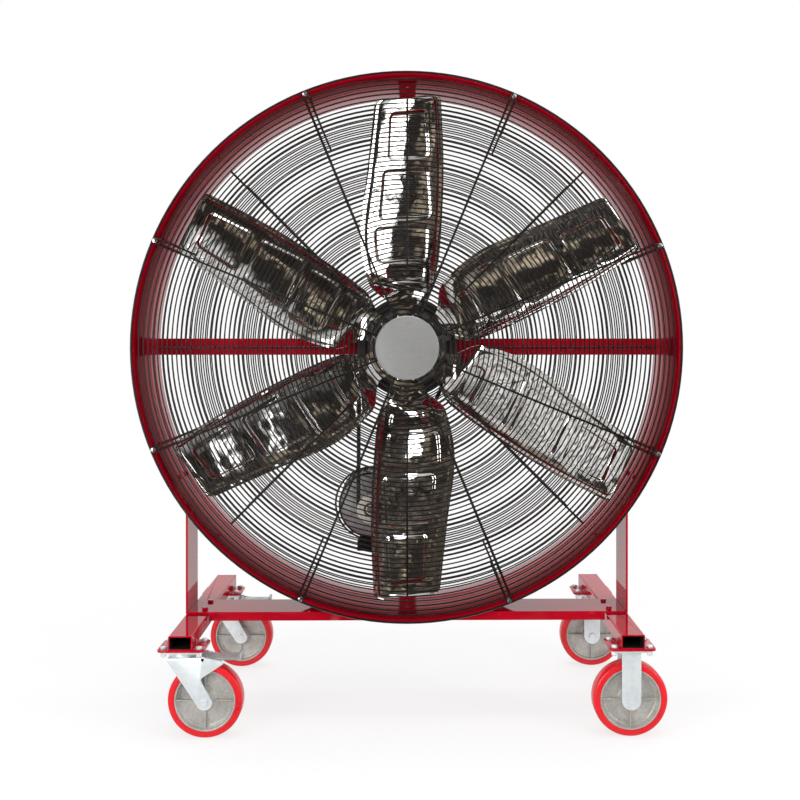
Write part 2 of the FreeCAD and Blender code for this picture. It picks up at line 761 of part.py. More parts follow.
# Motor on its bracket, beside the vertical strut.
motor_front = "(strut_y + strut_depth + motor_gap)"
shell_y = "(%s + bell_length)" % motor_front
keep(rod("motor_shaft", "motor_shaft_radius", shell_y + " + motor_shaft_reach - motor_shaft_front",
         ("motor_x", "motor_shaft_front", motor_z)))
shaft_room = "motor_shaft_radius + shaft_fit"
keep(turned("motor_end_bell", [
    (shaft_room, "-bell_boss_length"),
    ("bell_boss_radius", "-bell_boss_length"),
    ("bell_boss_radius", "0"),
    ("motor_radius - bell_length", "0"),
    ("motor_radius - 1", "0.7 * bell_length"),
    ("motor_radius - 1", "bell_length"),
    (shaft_room, "bell_length")], ("motor_x", motor_front, motor_z)))
shell_blank = rod("motor_shell_blank", "motor_radius", "shell_length", ("motor_x", shell_y, motor_z))
shell_bore = rod("motor_shell_bore", "motor_shaft_radius + 2", "motor_shaft_reach + 12",
                 ("motor_x", shell_y + " - 10", motor_z))
keep(cut("motor_shell", shell_blank, [shell_bore]))
keep(turned("motor_fan_cover", [
    ("0", "0"),
    ("motor_radius + 1", "0"),
    ("motor_radius + 1", "0.7 * cover_length"),
    ("motor_radius - 0.2 * cover_length", "cover_length"),
    ("0", "cover_length")], ("motor_x", shell_y + " + shell_length", motor_z)))

foot_bottom = "(%s - motor_radius - foot_height)" % motor_z
mount_y = "(strut_y + strut_depth)"
foot_y_start = "(%s + mount_depth - foot_length - foot_gap)" % mount_y
foot_blank = box("motor_feet_blank", ("foot_width", "foot_length", "motor_radius / 2"),
                 ("motor_x - foot_width / 2", foot_y_start, foot_bottom))
foot_clear = rod("motor_feet_clear", "motor_radius", "foot_length + 20",
                 ("motor_x", foot_y_start + " - 10", motor_z))
foot_screws = []
foot_holes = [foot_clear]
for sign in (-1, 1):
    tag = "left" if sign < 0 else "right"
    start = ("motor_x + %d * foot_width / 3" % sign, mount_y + " + 0.6 * mount_depth",
             foot_bottom + " - mount_thick")
    foot_screws.append(bolt("foot_screw_" + tag, "motor_bolt_radius", "mount_thick + foot_height - 2",
                            start, upright_z, nut=False))
    for use, holes in (("foot", foot_holes), ("mount", mount_holes["mount"])):
        holes.append(rod("foot_screw_hole_%s_%s" % (use, tag), "motor_bolt_radius + bolt_hole_fit",
                         "mount_thick + foot_height - 1", start, upright_z))
keep(group("motor_bolts", foot_screws + mount_bolts))
keep(cut("motor_feet", foot_blank, foot_holes))
shelf = box("motor_mount_shelf", ("strut_height / 2 - mount_left", "mount_depth", "mount_thick"),
            ("mount_left", mount_y, foot_bottom + " - mount_thick"))
lip = box("motor_mount_lip", ("strut_height / 2 - mount_left", "mount_thick", "mount_lip"),
          ("mount_left", mount_y, foot_bottom + " - mount_lip"))
bracket = fuse("motor_mount_blank", [shelf, lip])
keep(cut("motor_mount", bracket, mount_holes["mount"]))

# Junction box on the motor's right side, with a hole for the supply cable in its rear wall.
box_x = "(motor_x + motor_radius - box_wall)"
box_y = "(%s + shell_length - box_depth - box_back)" % shell_y
box_z = "(%s - box_height / 2)" % motor_z
outer = box("junction_box_outer", ("box_width", "box_depth", "box_height"), (box_x, box_y, box_z))
inner = box("junction_box_inner",
            ("box_width - box_wall", "box_depth - 2 * box_wall", "box_height - 2 * box_wall"),
            (box_x, box_y + " + box_wall", box_z + " + box_wall"))
hugging = rod("junction_box_clear", "motor_radius", "shell_length", ("motor_x", shell_y, motor_z))
entry = rod("junction_box_entry", "cable_hole", "3 * box_wall",
            (box_x + " + box_width / 2", box_y + " + box_depth - 2 * box_wall", motor_z))
shell = cut("junction_box_shell", outer, [inner])
fitted = cut("junction_box_fitted", shell, [hugging])
keep(cut("junction_box", fitted, [entry]))


# Guards: rings laid on spokes, touching where they cross.
def ring(name, radius, along, wire, centre=("0", hub_z)):
    # eight-sided wire, turned about the fan's axis or another one along Y
    section = doc.addObject("Part::RegularPolygon", name + "_section")
    section.Polygon = 8
    bind(section, Circumradius=wire)
    place(section, ("%s + %s" % (centre[0], radius), along, centre[1]))
    item = doc.addObject("Part::Revolution", name)
    item.Source = section
    item.Axis = Vector(0, 1, 0)
    item.Angle = 360
    item.Solid = True
    item.setExpression("Base.x", named(centre[0]))
    item.setExpression("Base.z", named(centre[1]))
    return item


def spoke(name, angle, shift, near, far):
    # near and far are (radius, Y); the wire lies at this angle, moved sideways by shift
    lean = math.radians(angle)
    out = Vector(math.cos(lean), 0, -math.sin(lean))
    aside = Vector(-math.sin(lean), 0, -math.cos(lean)) * shift
    centre = Vector(0, 0, value(hub_z)) + aside
    first = centre + out * near[0] + Vector(0, near[1], 0)
    last = centre + out * far[0] + Vector(0, far[1], 0)
    item = doc.addObject("Part::Cylinder", name)
    bind(item, Radius="radial_wire")
    item.Height = (last - first).Length
    item.Placement = Placement(first, Rotation(Vector(0, 0, 1), last - first))
    return item


rim_ring = "(%s + rim_width - rim_ring_inset)" % skin
wire_face = value("radial_wire + ring_wire")
guard_inner = value("guard_inner")
rim_radius = value(rim_ring)
wire_end = rim_radius - value("rim_wire") - value("radial_wire")
wire_edge = wire_end - value("guard_edge")


def ring_spots(end, pitch, profile):
    # (radius, Y) of each ring, laid on the outer side of the spokes
    spots = []
    for near, far in zip(profile[:-1], profile[1:]):
        run = math.hypot(far[0] - near[0], far[1] - near[1])
        slope = Vector((far[0] - near[0]) / run, (far[1] - near[1]) / run, 0)
        aside = Vector(-slope.y, slope.x, 0) * (ends[end] * wire_face)
        for step in range(int(run / pitch)):
            spot = Vector(near[0], near[1], 0) + slope * (pitch * (step + 0.25)) + aside
            if spot.x < wire_edge:
                spots.append((spot.x, spot.y))
    return spots


def guard_rings(name, end, spots):
    rim_y = (drum_front if end == "front" else drum_back) + " + %d * rim_wire" % ends[end]
    wires = [ring(name + "_rim", rim_ring, rim_y, "rim_wire")]
    for index, (radius, along) in enumerate(spots):
        wires.append(ring("%s_ring_%d" % (name, index + 1), "%.6f" % radius, "%.6f" % along, "ring_wire"))
    return wires


def along_profile(profile, radius):
    for near, far in zip(profile[:-1], profile[1:]):
        if near[0] <= radius <= far[0]:
            share = (radius - near[0]) / (far[0] - near[0])
            return near[1] + (far[1] - near[1]) * share
    return profile[-1][1]


def spokes_of(name, profile):
    wires = []
    shift = value("double_spacing")
    short_from = wire_end - value("double_length")
    single = [value("single_inner"), value("single_outer")]
    for index in range(spokes):
        double_at = spoke_step * (index + 0.5)
        single_at = spoke_step * index
        for part, (near, far) in enumerate(zip(profile[:-1], profile[1:])):
            wires.append(spoke("%s_spoke_%d_%d" % (name, index + 1, part + 1), double_at, 0, near, far))
        near = (short_from, along_profile(profile, short_from))
        wires.append(spoke("%s_short_%d" % (name, index + 1), double_at, shift, near, profile[-1]))
        ends_at = [(radius, along_profile(profile, radius)) for radius in single]
        wires.append(spoke("%s_single_%d" % (name, index + 1), single_at, 0, ends_at[0], ends_at[1]))
    return wires


front_y = value(drum_front) - value("radial_wire")
front_profile = [(guard_inner, front_y - value("guard_dish")), (wire_end, front_y)]
front_spots = ring_spots("front", value("guard_pitch"), front_profile)
keep(group("front_guard", guard_rings("front_guard", "front", front_spots)
           + spokes_of("front_guard", front_profile)))

rear_y = value(drum_back) + value("radial_wire")
rear_profile = [(guard_inner, rear_y), (wire_end, rear_y)]
rear_spots = ring_spots("rear", value("guard_pitch"), rear_profile)
# The motor stands out through a hoop in the rear guard, where the wires stop.
hoop_radius = "(motor_radius + motor_hoop)"
hoop_y = "(%s + radial_wire)" % drum_back
hoop = ring("rear_guard_hoop", hoop_radius, hoop_y, "radial_wire", ("motor_x", motor_z))
stops = [rod("rear_guard_stop_" + kind, radius, "drum_depth", ("motor_x", drum_back + " - 10", motor_z))
         for kind, radius in (("rings", hoop_radius), ("spokes", hoop_radius + " + radial_wire"))]
whole_rings = group("rear_guard_all_rings", guard_rings("rear_guard", "rear", rear_spots))
rear_rings = cut("rear_guard_rings", whole_rings, stops[:1])
whole_spokes = group("rear_guard_all_spokes", spokes_of("rear_guard", rear_profile))
rear_spokes = cut("rear_guard_spokes", whole_spokes, stops[1:])
keep(group("rear_guard", [rear_rings, rear_spokes, hoop]))

# Round plate on the middle of the front guard.
plate_back = "(%.6f - ring_wire)" % front_spots[0][1]
keep(rod("guard_plate", "plate_radius", "plate_thick", ("0", plate_back + " - plate_thick", hub_z)))


# Casters.
def caster_spot(side, end):
    return leg_x(side), "(%d * %s)" % (ends[end], caster_y)


pads = []
caster_bolts = []
plate_holes = {}
for side in sides:
    for end in ends:
        mid_x, mid_y = caster_spot(side, end)
        tag = "%s_%s" % (side, end)
        blank = box("pad_blank_" + tag, ("pad_width", "pad_depth", "pad_thick"),
                    (mid_x + " - pad_width / 2", mid_y + " - pad_depth / 2", "caster_height"))
        pad_holes = []
        plate_holes[tag] = []
        for corner in range(4):
            across = "%s + %d * caster_bolt_across / 2" % (mid_x, 1 if corner % 2 else -1)
            along = "%s + %d * caster_bolt_along / 2" % (mid_y, 1 if corner > 1 else -1)
            start = (across, along, leg_bottom)
            grip = "pad_thick + caster_plate_thick"
            name = "%s_%d" % (tag, corner + 1)
            caster_bolts.append(bolt("caster_bolt_" + name, "caster_bolt_radius", grip, start, down))
            for use, holes in (("pad", pad_holes), ("plate", plate_holes[tag])):
                holes.append(bolt_hole("%s_hole_%s" % (use, name), "caster_bolt_radius", grip, start, down))
        pads.append(cut("pad_" + tag, blank, pad_holes))
keep(group("caster_pads", pads))
keep(group("caster_bolts", caster_bolts))

plate_bottom = "(caster_height - caster_plate_thick)"
fork_out = "(fork_gap / 2 + fork_thick)"


def caster_plate(name, side, end):
    mid_x, mid_y = caster_spot(side, end)
    return box(name, ("caster_plate_width", "caster_plate_depth", "caster_plate_thick"),
               (mid_x + " - caster_plate_width / 2", mid_y + " - caster_plate_depth / 2", plate_bottom))


def axle(name, axle_x, mid_y):
    start = (axle_x, "%s - %s" % (mid_y, fork_out), "wheel_radius")
    return bolt(name, "axle_radius", "2 * " + fork_out, start, to_y)


def cheeks(name, mid_x, mid_y, points, axle_x):
    # two fork sides, each with a round lower end and a hole for the axle
    finished = []
    for tag, back in (("front", "-fork_gap / 2"), ("rear", fork_out)):
        side_plate = plate("%s_%s_plate" % (name, tag), points, "fork_thick",
                           (mid_x, "%s + %s" % (mid_y, back), "0"))
        end_disc = rod("%s_%s_end" % (name, tag), "fork_end_radius", "fork_thick",
                       (axle_x, "%s + %s - fork_thick" % (mid_y, back), "wheel_radius"))
        finished += [side_plate, end_disc]
    return finished


def axle_hole(name, axle_x, mid_y):
    return rod(name, "axle_radius + bolt_hole_fit", "2 * %s + 20" % fork_out,
               (axle_x, "%s - %s - 10" % (mid_y, fork_out), "wheel_radius"))


rigid_forks = []
rigid_axles = []
for end in ends:
    mid_x, mid_y = caster_spot("right", end)
    name = "rigid_fork_" + end
    top = caster_plate(name + "_top", "right", end)
    points = [("-rigid_fork_width / 2", plate_bottom), ("-fork_end_radius", "wheel_radius"),
              ("fork_end_radius", "wheel_radius"), ("rigid_fork_width / 2", plate_bottom)]
    blank = fuse(name + "_blank", [top] + cheeks(name, mid_x, mid_y, points, mid_x))
    holes = plate_holes["right_" + end] + [axle_hole(name + "_way", mid_x, mid_y)]
    rigid_forks.append(cut(name, blank, holes))
    rigid_axles.append(axle("rigid_axle_" + end, mid_x, mid_y))
keep(group("rigid_forks", rigid_forks))
keep(group("rigid_axles", rigid_axles))


def brake_pedal(name, pivot_x, mid_y):
    near_y = mid_y + " - pedal_width / 2"
    pin = rod(name + "_pin", "pedal_pin_radius", "2 * " + fork_out,
              (pivot_x, "%s - %s" % (mid_y, fork_out), pedal_z))
    boss = rod(name + "_boss", "pedal_boss_radius", "pedal_width", (pivot_x, near_y, pedal_z))
    lever = box(name + "_lever", ("pedal_length", "pedal_width", "pedal_thick"),
                (pivot_x, near_y, pedal_z + " - pedal_thick / 2"))
    toe = box(name + "_toe", ("pedal_thick", "pedal_width", "pedal_toe"),
              (pivot_x + " + pedal_length - pedal_thick", near_y, pedal_z))
    return fuse(name, [pin, boss, lever, toe])


race_top = "(%s - race_gap)" % plate_bottom
crown_top = "(%s - race_height)" % race_top
crown_bottom = "(%s - crown_thick)" % crown_top
pedal_z = "(%s + crown_thick / 2)" % crown_bottom
top_plates = []
for end in ends:
    mid_x, mid_y = caster_spot("left", end)
    axle_x = mid_x + " + trail"
    blank = caster_plate("swivel_plate_blank_" + end, "left", end)
    pin_low = "(%s - race_gap - kingpin_head)" % crown_bottom
    pin = rod("kingpin_" + end, "kingpin_radius", "%s - %s" % (plate_bottom, pin_low),
              (mid_x, mid_y, pin_low), upright_z)
    pin_head = rod("kingpin_head_" + end, "kingpin_head_radius", "kingpin_head",
                   (mid_x, mid_y, pin_low), upright_z)
    joined = fuse("swivel_plate_joined_" + end, [blank, pin, pin_head])
    top_plates.append(cut("swivel_plate_" + end, joined, plate_holes["left_" + end]))

    name = end + "_swivel_fork"
    race = rod(name + "_race", "race_radius", "race_height", (mid_x, mid_y, crown_top), upright_z)
    crown = box(name + "_crown", ("crown_front + crown_back", "2 * " + fork_out, "crown_thick"),
                (mid_x + " - crown_front", "%s - %s" % (mid_y, fork_out), crown_bottom))
    points = [("-crown_front", crown_top), ("-crown_front", crown_bottom),
              ("trail - fork_end_radius", "wheel_radius"), ("trail + fork_end_radius", "wheel_radius"),
              ("trail - arm_notch", "wheel_radius + arm_rise"),
              ("trail + arm_reach", crown_bottom + " - arm_depth"), ("trail + arm_reach", crown_bottom),
              ("pedal_pivot_x", crown_top)]
    pedal_x = mid_x + " + pedal_pivot_x"
    ears = [rod("%s_ear_%s" % (name, tag), "pedal_ear_radius", "fork_thick",
                (pedal_x, mid_y + start, pedal_z))
            for tag, start in (("front", " - " + fork_out), ("rear", " + fork_gap / 2"))]
    blank = fuse(name + "_blank", [race, crown] + ears + cheeks(name, mid_x, mid_y, points, axle_x))
    ear_way = rod(name + "_ear_way", "pedal_pin_radius + pedal_pin_fit", "2 * %s + 20" % fork_out,
                  (pedal_x, "%s - %s - 10" % (mid_y, fork_out), pedal_z))
    pin_way = rod(name + "_pin_way", "kingpin_radius + kingpin_fit", "race_height + crown_thick + 20",
                  (mid_x, mid_y, crown_bottom + " - 10"), upright_z)
    keep(cut(name, blank, [pin_way, ear_way, axle_hole(name + "_way", axle_x, mid_y)]))
    keep(axle(end + "_swivel_axle", axle_x, mid_y))
    keep(brake_pedal(end + "_brake_pedal", pedal_x, mid_y))
keep(group("swivel_plates", top_plates))

wheel_spots = {}
for side in sides:
    for end in ends:
        mid_x, mid_y = caster_spot(side, end)
        wheel_x = mid_x + " + trail" if side == "left" else mid_x
        wheel_spots["%s_%s" % (end, side)] = (wheel_x, mid_y, "wheel_radius")

core_radius = "(wheel_radius - tyre_thick)"
rim_in = "(%s - core_rim)" % core_radius
for tag, spot in wheel_spots.items():
    half = "tyre_width / 2"
    keep(turned(tag + "_tyre", [
        (core_radius, "-" + half),
        ("wheel_radius - tyre_round", "-" + half),
        ("wheel_radius", "-%s + tyre_round" % half),
        ("wheel_radius", half + " - tyre_round"),
        ("wheel_radius - tyre_round", half),
        (core_radius, half)], spot))
    name = tag + "_wheel_core"
    bore_radius = "axle_radius + axle_fit"
    blank = turned(name + "_blank", [
        (bore_radius, "-core_hub_width / 2"),
        ("core_hub_radius", "-core_hub_width / 2"),
        ("core_hub_radius", "-core_web / 2"),
        (rim_in, "-core_web / 2"),
        (rim_in, "-" + half),
        (core_radius, "-" + half),
        (core_radius, half),
        (rim_in, half),
        (rim_in, "core_web / 2"),
        ("core_hub_radius", "core_web / 2"),
        ("core_hub_radius", "core_hub_width / 2"),
        (bore_radius, "core_hub_width / 2")], spot)
    ribs = []
    for index, angle in enumerate((0, 90, 180, 270)):
        turn = Rotation(Vector(0, 1, 0), angle)
        rib = doc.addObject("Part::Box", "%s_rib_%d" % (name, index + 1))
        bind(rib, Length="%s - core_hub_radius + 4" % rim_in, Width="core_rib_width", Height="core_rib")
        corner = turn.multVec(Vector(1, 0, 0))
        lift = turn.multVec(Vector(0, 0, 1))
        offset = "%s + (%.6f) * (core_hub_radius - 2) - (%.6f) * core_rib / 2"
        place(rib, (offset % (spot[0], corner.x, lift.x), "%s - core_rib_width / 2" % spot[1],
                    offset % (spot[2], corner.z, lift.z)), turn)
        ribs.append(rib)
    keep(fuse(name, [blank] + ribs))

doc.recompute()

os.makedirs("parts", exist_ok=True)
for item in doc.Objects:
    if "Invalid" in item.State or "Error" in item.State:
        raise RuntimeError("%s did not build" % item.Label)
for item in kept:
    if item.Shape.isNull() or not item.Shape.isValid():
        raise RuntimeError("%s has no sound shape" % item.Label)
for item in kept:
    item.Shape.exportStep("parts/%s.step" % item.Label)
    print(item.Label, len(item.Shape.Solids), round(item.Shape.Volume))
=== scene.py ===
import json
import math

import bpy
from mathutils import Matrix, Vector


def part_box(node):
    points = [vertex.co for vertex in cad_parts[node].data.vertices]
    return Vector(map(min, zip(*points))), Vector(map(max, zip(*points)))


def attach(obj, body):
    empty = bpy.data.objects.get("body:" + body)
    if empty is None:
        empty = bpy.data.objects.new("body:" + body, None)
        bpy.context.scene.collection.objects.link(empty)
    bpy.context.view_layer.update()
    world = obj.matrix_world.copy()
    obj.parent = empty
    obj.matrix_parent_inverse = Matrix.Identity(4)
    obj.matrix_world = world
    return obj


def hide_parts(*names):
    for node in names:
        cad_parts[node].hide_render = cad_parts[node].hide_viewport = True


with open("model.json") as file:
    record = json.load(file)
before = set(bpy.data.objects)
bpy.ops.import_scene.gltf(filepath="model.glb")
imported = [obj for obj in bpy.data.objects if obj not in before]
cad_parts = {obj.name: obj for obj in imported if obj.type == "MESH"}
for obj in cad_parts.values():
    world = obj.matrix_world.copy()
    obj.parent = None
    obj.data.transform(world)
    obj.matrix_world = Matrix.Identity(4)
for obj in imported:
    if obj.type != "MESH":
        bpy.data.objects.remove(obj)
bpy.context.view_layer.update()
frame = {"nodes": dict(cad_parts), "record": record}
nodes = frame["nodes"]
slotOf = {part["node"]: part["material_slot"] for part in frame["record"]["subparts"]}


def middleOf(node):
    low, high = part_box(node)
    return Vector([(a + b) / 2 for a, b in zip(low, high)])


hub = Vector((0, 0, middleOf("drum").z))
print("frame loaded:", len(nodes), "nodes, hub at", round(hub.z, 4))


# selection and finishing

def pickOnly(obj):
    if bpy.context.mode != "OBJECT":
        bpy.ops.object.mode_set(mode="OBJECT")
    bpy.ops.object.select_all(action="DESELECT")
    obj.select_set(True)
    bpy.context.view_layer.objects.active = obj


def intoEdit(obj, pick="SELECT"):
    pickOnly(obj)
    bpy.ops.object.mode_set(mode="EDIT")
    bpy.ops.mesh.select_all(action=pick)


def outOfEdit():
    bpy.ops.object.mode_set(mode="OBJECT")


def settle(obj):
    pickOnly(obj)
    bpy.ops.object.transform_apply(location=True, rotation=True, scale=True)


def applyModifier(obj, kind, **values):
    pickOnly(obj)
    mod = obj.modifiers.new(kind.title(), kind)
    for key, value in values.items():
        setattr(mod, key, value)
    bpy.ops.object.modifier_apply(modifier=mod.name)


def roundEdges(obj, width, segments=2, angle=35):
    applyModifier(obj, "BEVEL", width=width, segments=segments, limit_method="ANGLE",
                  angle_limit=math.radians(angle))


def smoothBy(obj, angle=35):
    pickOnly(obj)
    bpy.ops.object.shade_smooth_by_angle(angle=math.radians(angle))


def mendShell(obj, near=0.00002):
    intoEdit(obj)
    bpy.ops.mesh.remove_doubles(threshold=near)
    bpy.ops.mesh.normals_make_consistent(inside=False)
    outOfEdit()


def joinAll(pieces, name):
    pickOnly(pieces[0])
    for piece in pieces[1:]:
        piece.select_set(True)
    bpy.ops.object.join()
    pieces[0].name = name
    return pieces[0]


def copyOf(obj, name, move):
    twin = obj.copy()
    twin.data = obj.data.copy()
    twin.name = name
    bpy.context.collection.objects.link(twin)
    twin.data.transform(move)
    return twin


def spinAbout(axis, angle, centre):
    return Matrix.Translation(centre) @ Matrix.Rotation(angle, 4, axis) @ Matrix.Translation(-centre)


def standAt(place, way):  # local Z turned along the way
    return Matrix.Translation(place) @ way.to_track_quat("Z", "Y").to_matrix().to_4x4()


def finishPiece(obj, node, body="base"):  # takes the finish of the node it stands for
    settle(obj)
    obj.data.materials.clear()
    obj.data.materials.append(nodes[node].data.materials[0])
    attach(obj, body)
    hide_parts(node)


def joinFinish(pieces, name, node, body="base"):
    whole = joinAll(pieces, name)
    smoothBy(whole, 40)
    finishPiece(whole, node, body)


def drawnLine(name, points):  # closed loop of edges
    mesh = bpy.data.meshes.new(name)
    edges = [(k, (k + 1) % len(points)) for k in range(len(points))]
    mesh.from_pydata([tuple(p) for p in points], edges, [])
    obj = bpy.data.objects.new(name, mesh)
    bpy.context.collection.objects.link(obj)
    return obj


def lathe(name, profile, centre, steps, along=(0, 1, 0)):  # profile is (radius, distance along the axis)
    start, axis = Vector(centre), Vector(along)
    obj = drawnLine(name, [start + Vector((r, 0, 0)) + axis * far for r, far in profile])
    intoEdit(obj)
    bpy.ops.mesh.spin(steps=steps, angle=2 * math.pi, center=start, axis=axis)
    outOfEdit()
    mendShell(obj)
    return obj


def block(name, low, high):
    bpy.ops.mesh.primitive_cube_add(size=1, location=(Vector(low) + Vector(high)) / 2)
    obj = bpy.context.active_object
    obj.name = name
    obj.scale = Vector(high) - Vector(low)
    settle(obj)
    return obj


# shared shader groups

def feed(tree, socket, value):  # output of another node, or a fixed value
    if isinstance(value, bpy.types.NodeSocket):
        tree.links.new(value, socket)
    else:
        socket.default_value = value


def addNode(tree, kind, **values):  # settings first, then inputs by name
    node = tree.nodes.new("ShaderNode" + kind)
    for key, value in values.items():
        if key in node.inputs:
            feed(tree, node.inputs[key], value)
        else:
            setattr(node, key, value)
    return node


def placeIn(tree, kind="Object"):
    return addNode(tree, "TexCoord").outputs[kind]


def mathNode(tree, operation, *values, kind="Math", out="Value"):
    node = addNode(tree, kind, operation=operation)
    for socket, value in zip(node.inputs, values):
        feed(tree, socket, value)
    return node.outputs[out]


def noiseAt(tree, vector, scale, detail=4.0, rough=0.55):
    node = addNode(tree, "TexNoise", Vector=vector, Scale=scale, Detail=detail, Roughness=rough)
    return node.outputs["Fac"]


def mixColour(tree, factor, first, second):
    node = addNode(tree, "Mix", data_type="RGBA", Factor=factor)
    for socket, value in zip([s for s in node.inputs if s.type == "RGBA"], (first, second)):
        feed(tree, socket, value)
    return [s for s in node.outputs if s.type == "RGBA"][0]


def mixShader(tree, factor, first, second):
    node = addNode(tree, "MixShader", Fac=factor)
    tree.links.new(first, node.inputs[1])
    tree.links.new(second, node.inputs[2])
    return node.outputs["Shader"]


def spread(tree, value, fromLow, fromHigh, toLow, toHigh):
    node = addNode(tree, "MapRange", Value=value)
    for label, end in zip(("From Min", "From Max", "To Min", "To Max"), (fromLow, fromHigh, toLow, toHigh)):
        feed(tree, node.inputs[label], end)
    return node.outputs["Result"]


def newGroup(name, colours, numbers, vectors=()):
    group = bpy.data.node_groups.new(name, "ShaderNodeTree")
    kinds = {"NodeSocketColor": colours, "NodeSocketFloat": numbers, "NodeSocketVector": vectors}
    for kind, labels in kinds.items():
        for label in labels:
            group.interface.new_socket(label, in_out="INPUT", socket_type=kind)
    for kind, label in zip(kinds, ("Colour", "Roughness", "Normal")):
        group.interface.new_socket(label, in_out="OUTPUT", socket_type=kind)
    start = group.nodes.new("NodeGroupInput").outputs
    end = group.nodes.new("NodeGroupOutput").inputs
    return group, start, end, placeIn(group)


def buildPaintGroup():  # cloudy tone, peel, dust and fine marks
    group, start, end, place = newGroup("paintSkin", ("Tone", "Deep Tone"),
                                        ("Peel Scale", "Peel Depth", "Smooth", "Rough", "Dust"))
    dustTone = (0.62, 0.55, 0.52, 1)
    cloud = noiseAt(group, place, 3.2)
    fine = noiseAt(group, place, 46.0, 6.0, 0.7)
    tone = mixColour(group, spread(group, cloud, 0.35, 0.65, 0.0, 1.0), start["Deep Tone"], start["Tone"])
    specks = spread(group, fine, 0.60, 0.74, 0.0, 1.0)
    dusty = mathNode(group, "MULTIPLY", specks, start["Dust"])
    group.links.new(mixColour(group, dusty, tone, dustTone), end["Colour"])
    worn = mathNode(group, "ADD", mathNode(group, "MULTIPLY", cloud, 0.6),
                    mathNode(group, "MULTIPLY", fine, 0.4))
    group.links.new(spread(group, worn, 0.35, 0.65, start["Smooth"], start["Rough"]), end["Roughness"])
    peel = noiseAt(group, place, start["Peel Scale"], 2.0)
    bump = addNode(group, "Bump", Height=peel, Strength=start["Peel Depth"], Distance=0.0006)
    group.links.new(bump.outputs["Normal"], end["Normal"])
    return group


def buildMetalGroup():  # drawn grain along one direction, smears and slow waves
    group, start, end, place = newGroup("metalGrain", ("Tone", "Stain"),
                                        ("Smear Scale", "Smooth", "Rough", "Depth", "Wave"), ("Stretch",))
    stretched = addNode(group, "Mapping", Vector=place, Scale=start["Stretch"])
    grain = noiseAt(group, stretched.outputs["Vector"], 1.0, 5.0, 0.6)
    smear = noiseAt(group, place, start["Smear Scale"], 5.0, 0.6)
    both = mathNode(group, "ADD", mathNode(group, "MULTIPLY", grain, 0.45),
                    mathNode(group, "MULTIPLY", smear, 0.55))
    colour = mixColour(group, spread(group, both, 0.38, 0.62, 0.0, 1.0), start["Stain"], start["Tone"])
    group.links.new(colour, end["Colour"])
    group.links.new(spread(group, both, 0.36, 0.64, start["Rough"], start["Smooth"]), end["Roughness"])
    wave = noiseAt(group, place, 9.0, 2.0)
    swell = addNode(group, "Bump", Height=wave, Strength=start["Wave"], Distance=0.01)
    bump = addNode(group, "Bump", Height=grain, Strength=start["Depth"], Distance=0.0004,
                   Normal=swell.outputs["Normal"])
    group.links.new(bump.outputs["Normal"], end["Normal"])
    return group


paintSkin = buildPaintGroup()
metalGrain = buildMetalGroup()


def material(name, group, values, shaderValues):
    mat = bpy.data.materials.new(name)
    mat.use_nodes = True
    tree = mat.node_tree
    shader = tree.nodes["Principled BSDF"]
    skin = tree.nodes.new("ShaderNodeGroup")
    skin.node_tree = group
    for key, value in values.items():
        skin.inputs[key].default_value = value
    tree.links.new(skin.outputs["Colour"], shader.inputs["Base Color"])
    tree.links.new(skin.outputs["Roughness"], shader.inputs["Roughness"])
    tree.links.new(skin.outputs["Normal"], shader.inputs["Normal"])
    for key, value in shaderValues.items():
        shader.inputs[key.replace("_", " ")].default_value = value
    return mat


def paint(name, tone, deep, peel, gloss, dust, **shaderValues):  # peel is scale and depth
    return material(name, paintSkin, {
        "Tone": (*tone, 1), "Deep Tone": (*deep, 1), "Peel Scale": peel[0], "Peel Depth": peel[1],
        "Smooth": gloss[0], "Rough": gloss[1], "Dust": dust}, shaderValues)


def metal(name, tone, stain, stretch, smear, gloss, depth, metallic, wave=0.0):
    return material(name, metalGrain, {
        "Tone": (*tone, 1), "Stain": (*stain, 1), "Stretch": stretch, "Smear Scale": smear,
        "Smooth": gloss[0], "Rough": gloss[1], "Depth": depth, "Wave": wave}, {"Metallic": metallic})


redPaint = paint("redEnamel", (0.46, 0.004, 0.018), (0.36, 0.002, 0.012), (160.0, 0.05), (0.10, 0.22), 0.03,
                 Coat_Weight=0.8, Coat_Roughness=0.04, Coat_IOR=1.5, Specular_IOR_Level=0.0)
# painted shade: a darker copy of the red enamel, for the drum and the strut straps inside it
redEnamelShaded = paint("redEnamelPaintedShade", (0.31, 0.002, 0.011), (0.24, 0.0015, 0.008), (120.0, 0.08), (0.14, 0.26),
                0.03, Coat_Roughness=0.06, Coat_IOR=1.5, Specular_IOR_Level=0.0)
blackPaint = paint("blackEnamel", (0.012, 0.0095, 0.0085), (0.006, 0.005, 0.0045), (300.0, 0.05),
                   (0.26, 0.42), 0.06, Specular_IOR_Level=0.30)
tyreRed = paint("tyrePolyurethane", (0.72, 0.004, 0.012), (0.60, 0.003, 0.009), (420.0, 0.04), (0.24, 0.40),
                0.05)
beltBlack = paint("beltRubber", (0.020, 0.020, 0.020), (0.012, 0.012, 0.012), (700.0, 0.25), (0.55, 0.75),
                  0.15)
castBlack = paint("castIronBlack", (0.055, 0.052, 0.050), (0.035, 0.033, 0.032), (260.0, 0.35), (0.42, 0.62),
                  0.15)
# painted shade: near-black for the inside of the leg tubes
tubeInsideShade = paint("tubeInsidePaintedShade", (0.018, 0.015, 0.014), (0.010, 0.009, 0.008), (90.0, 0.20), (0.50, 0.70),
                   0.10)
stainless = metal("stainlessMirror", (0.74, 0.73, 0.71), (0.60, 0.585, 0.565), (60.0, 60.0, 14.0), 7.0,
                  (0.035, 0.09), 0.02, metallic=1.0, wave=0.38)
zinc = metal("zincPlate", (0.83, 0.88, 0.89), (0.69, 0.75, 0.77), (70.0, 70.0, 70.0), 22.0, (0.26, 0.42),
             0.06, metallic=0.35)
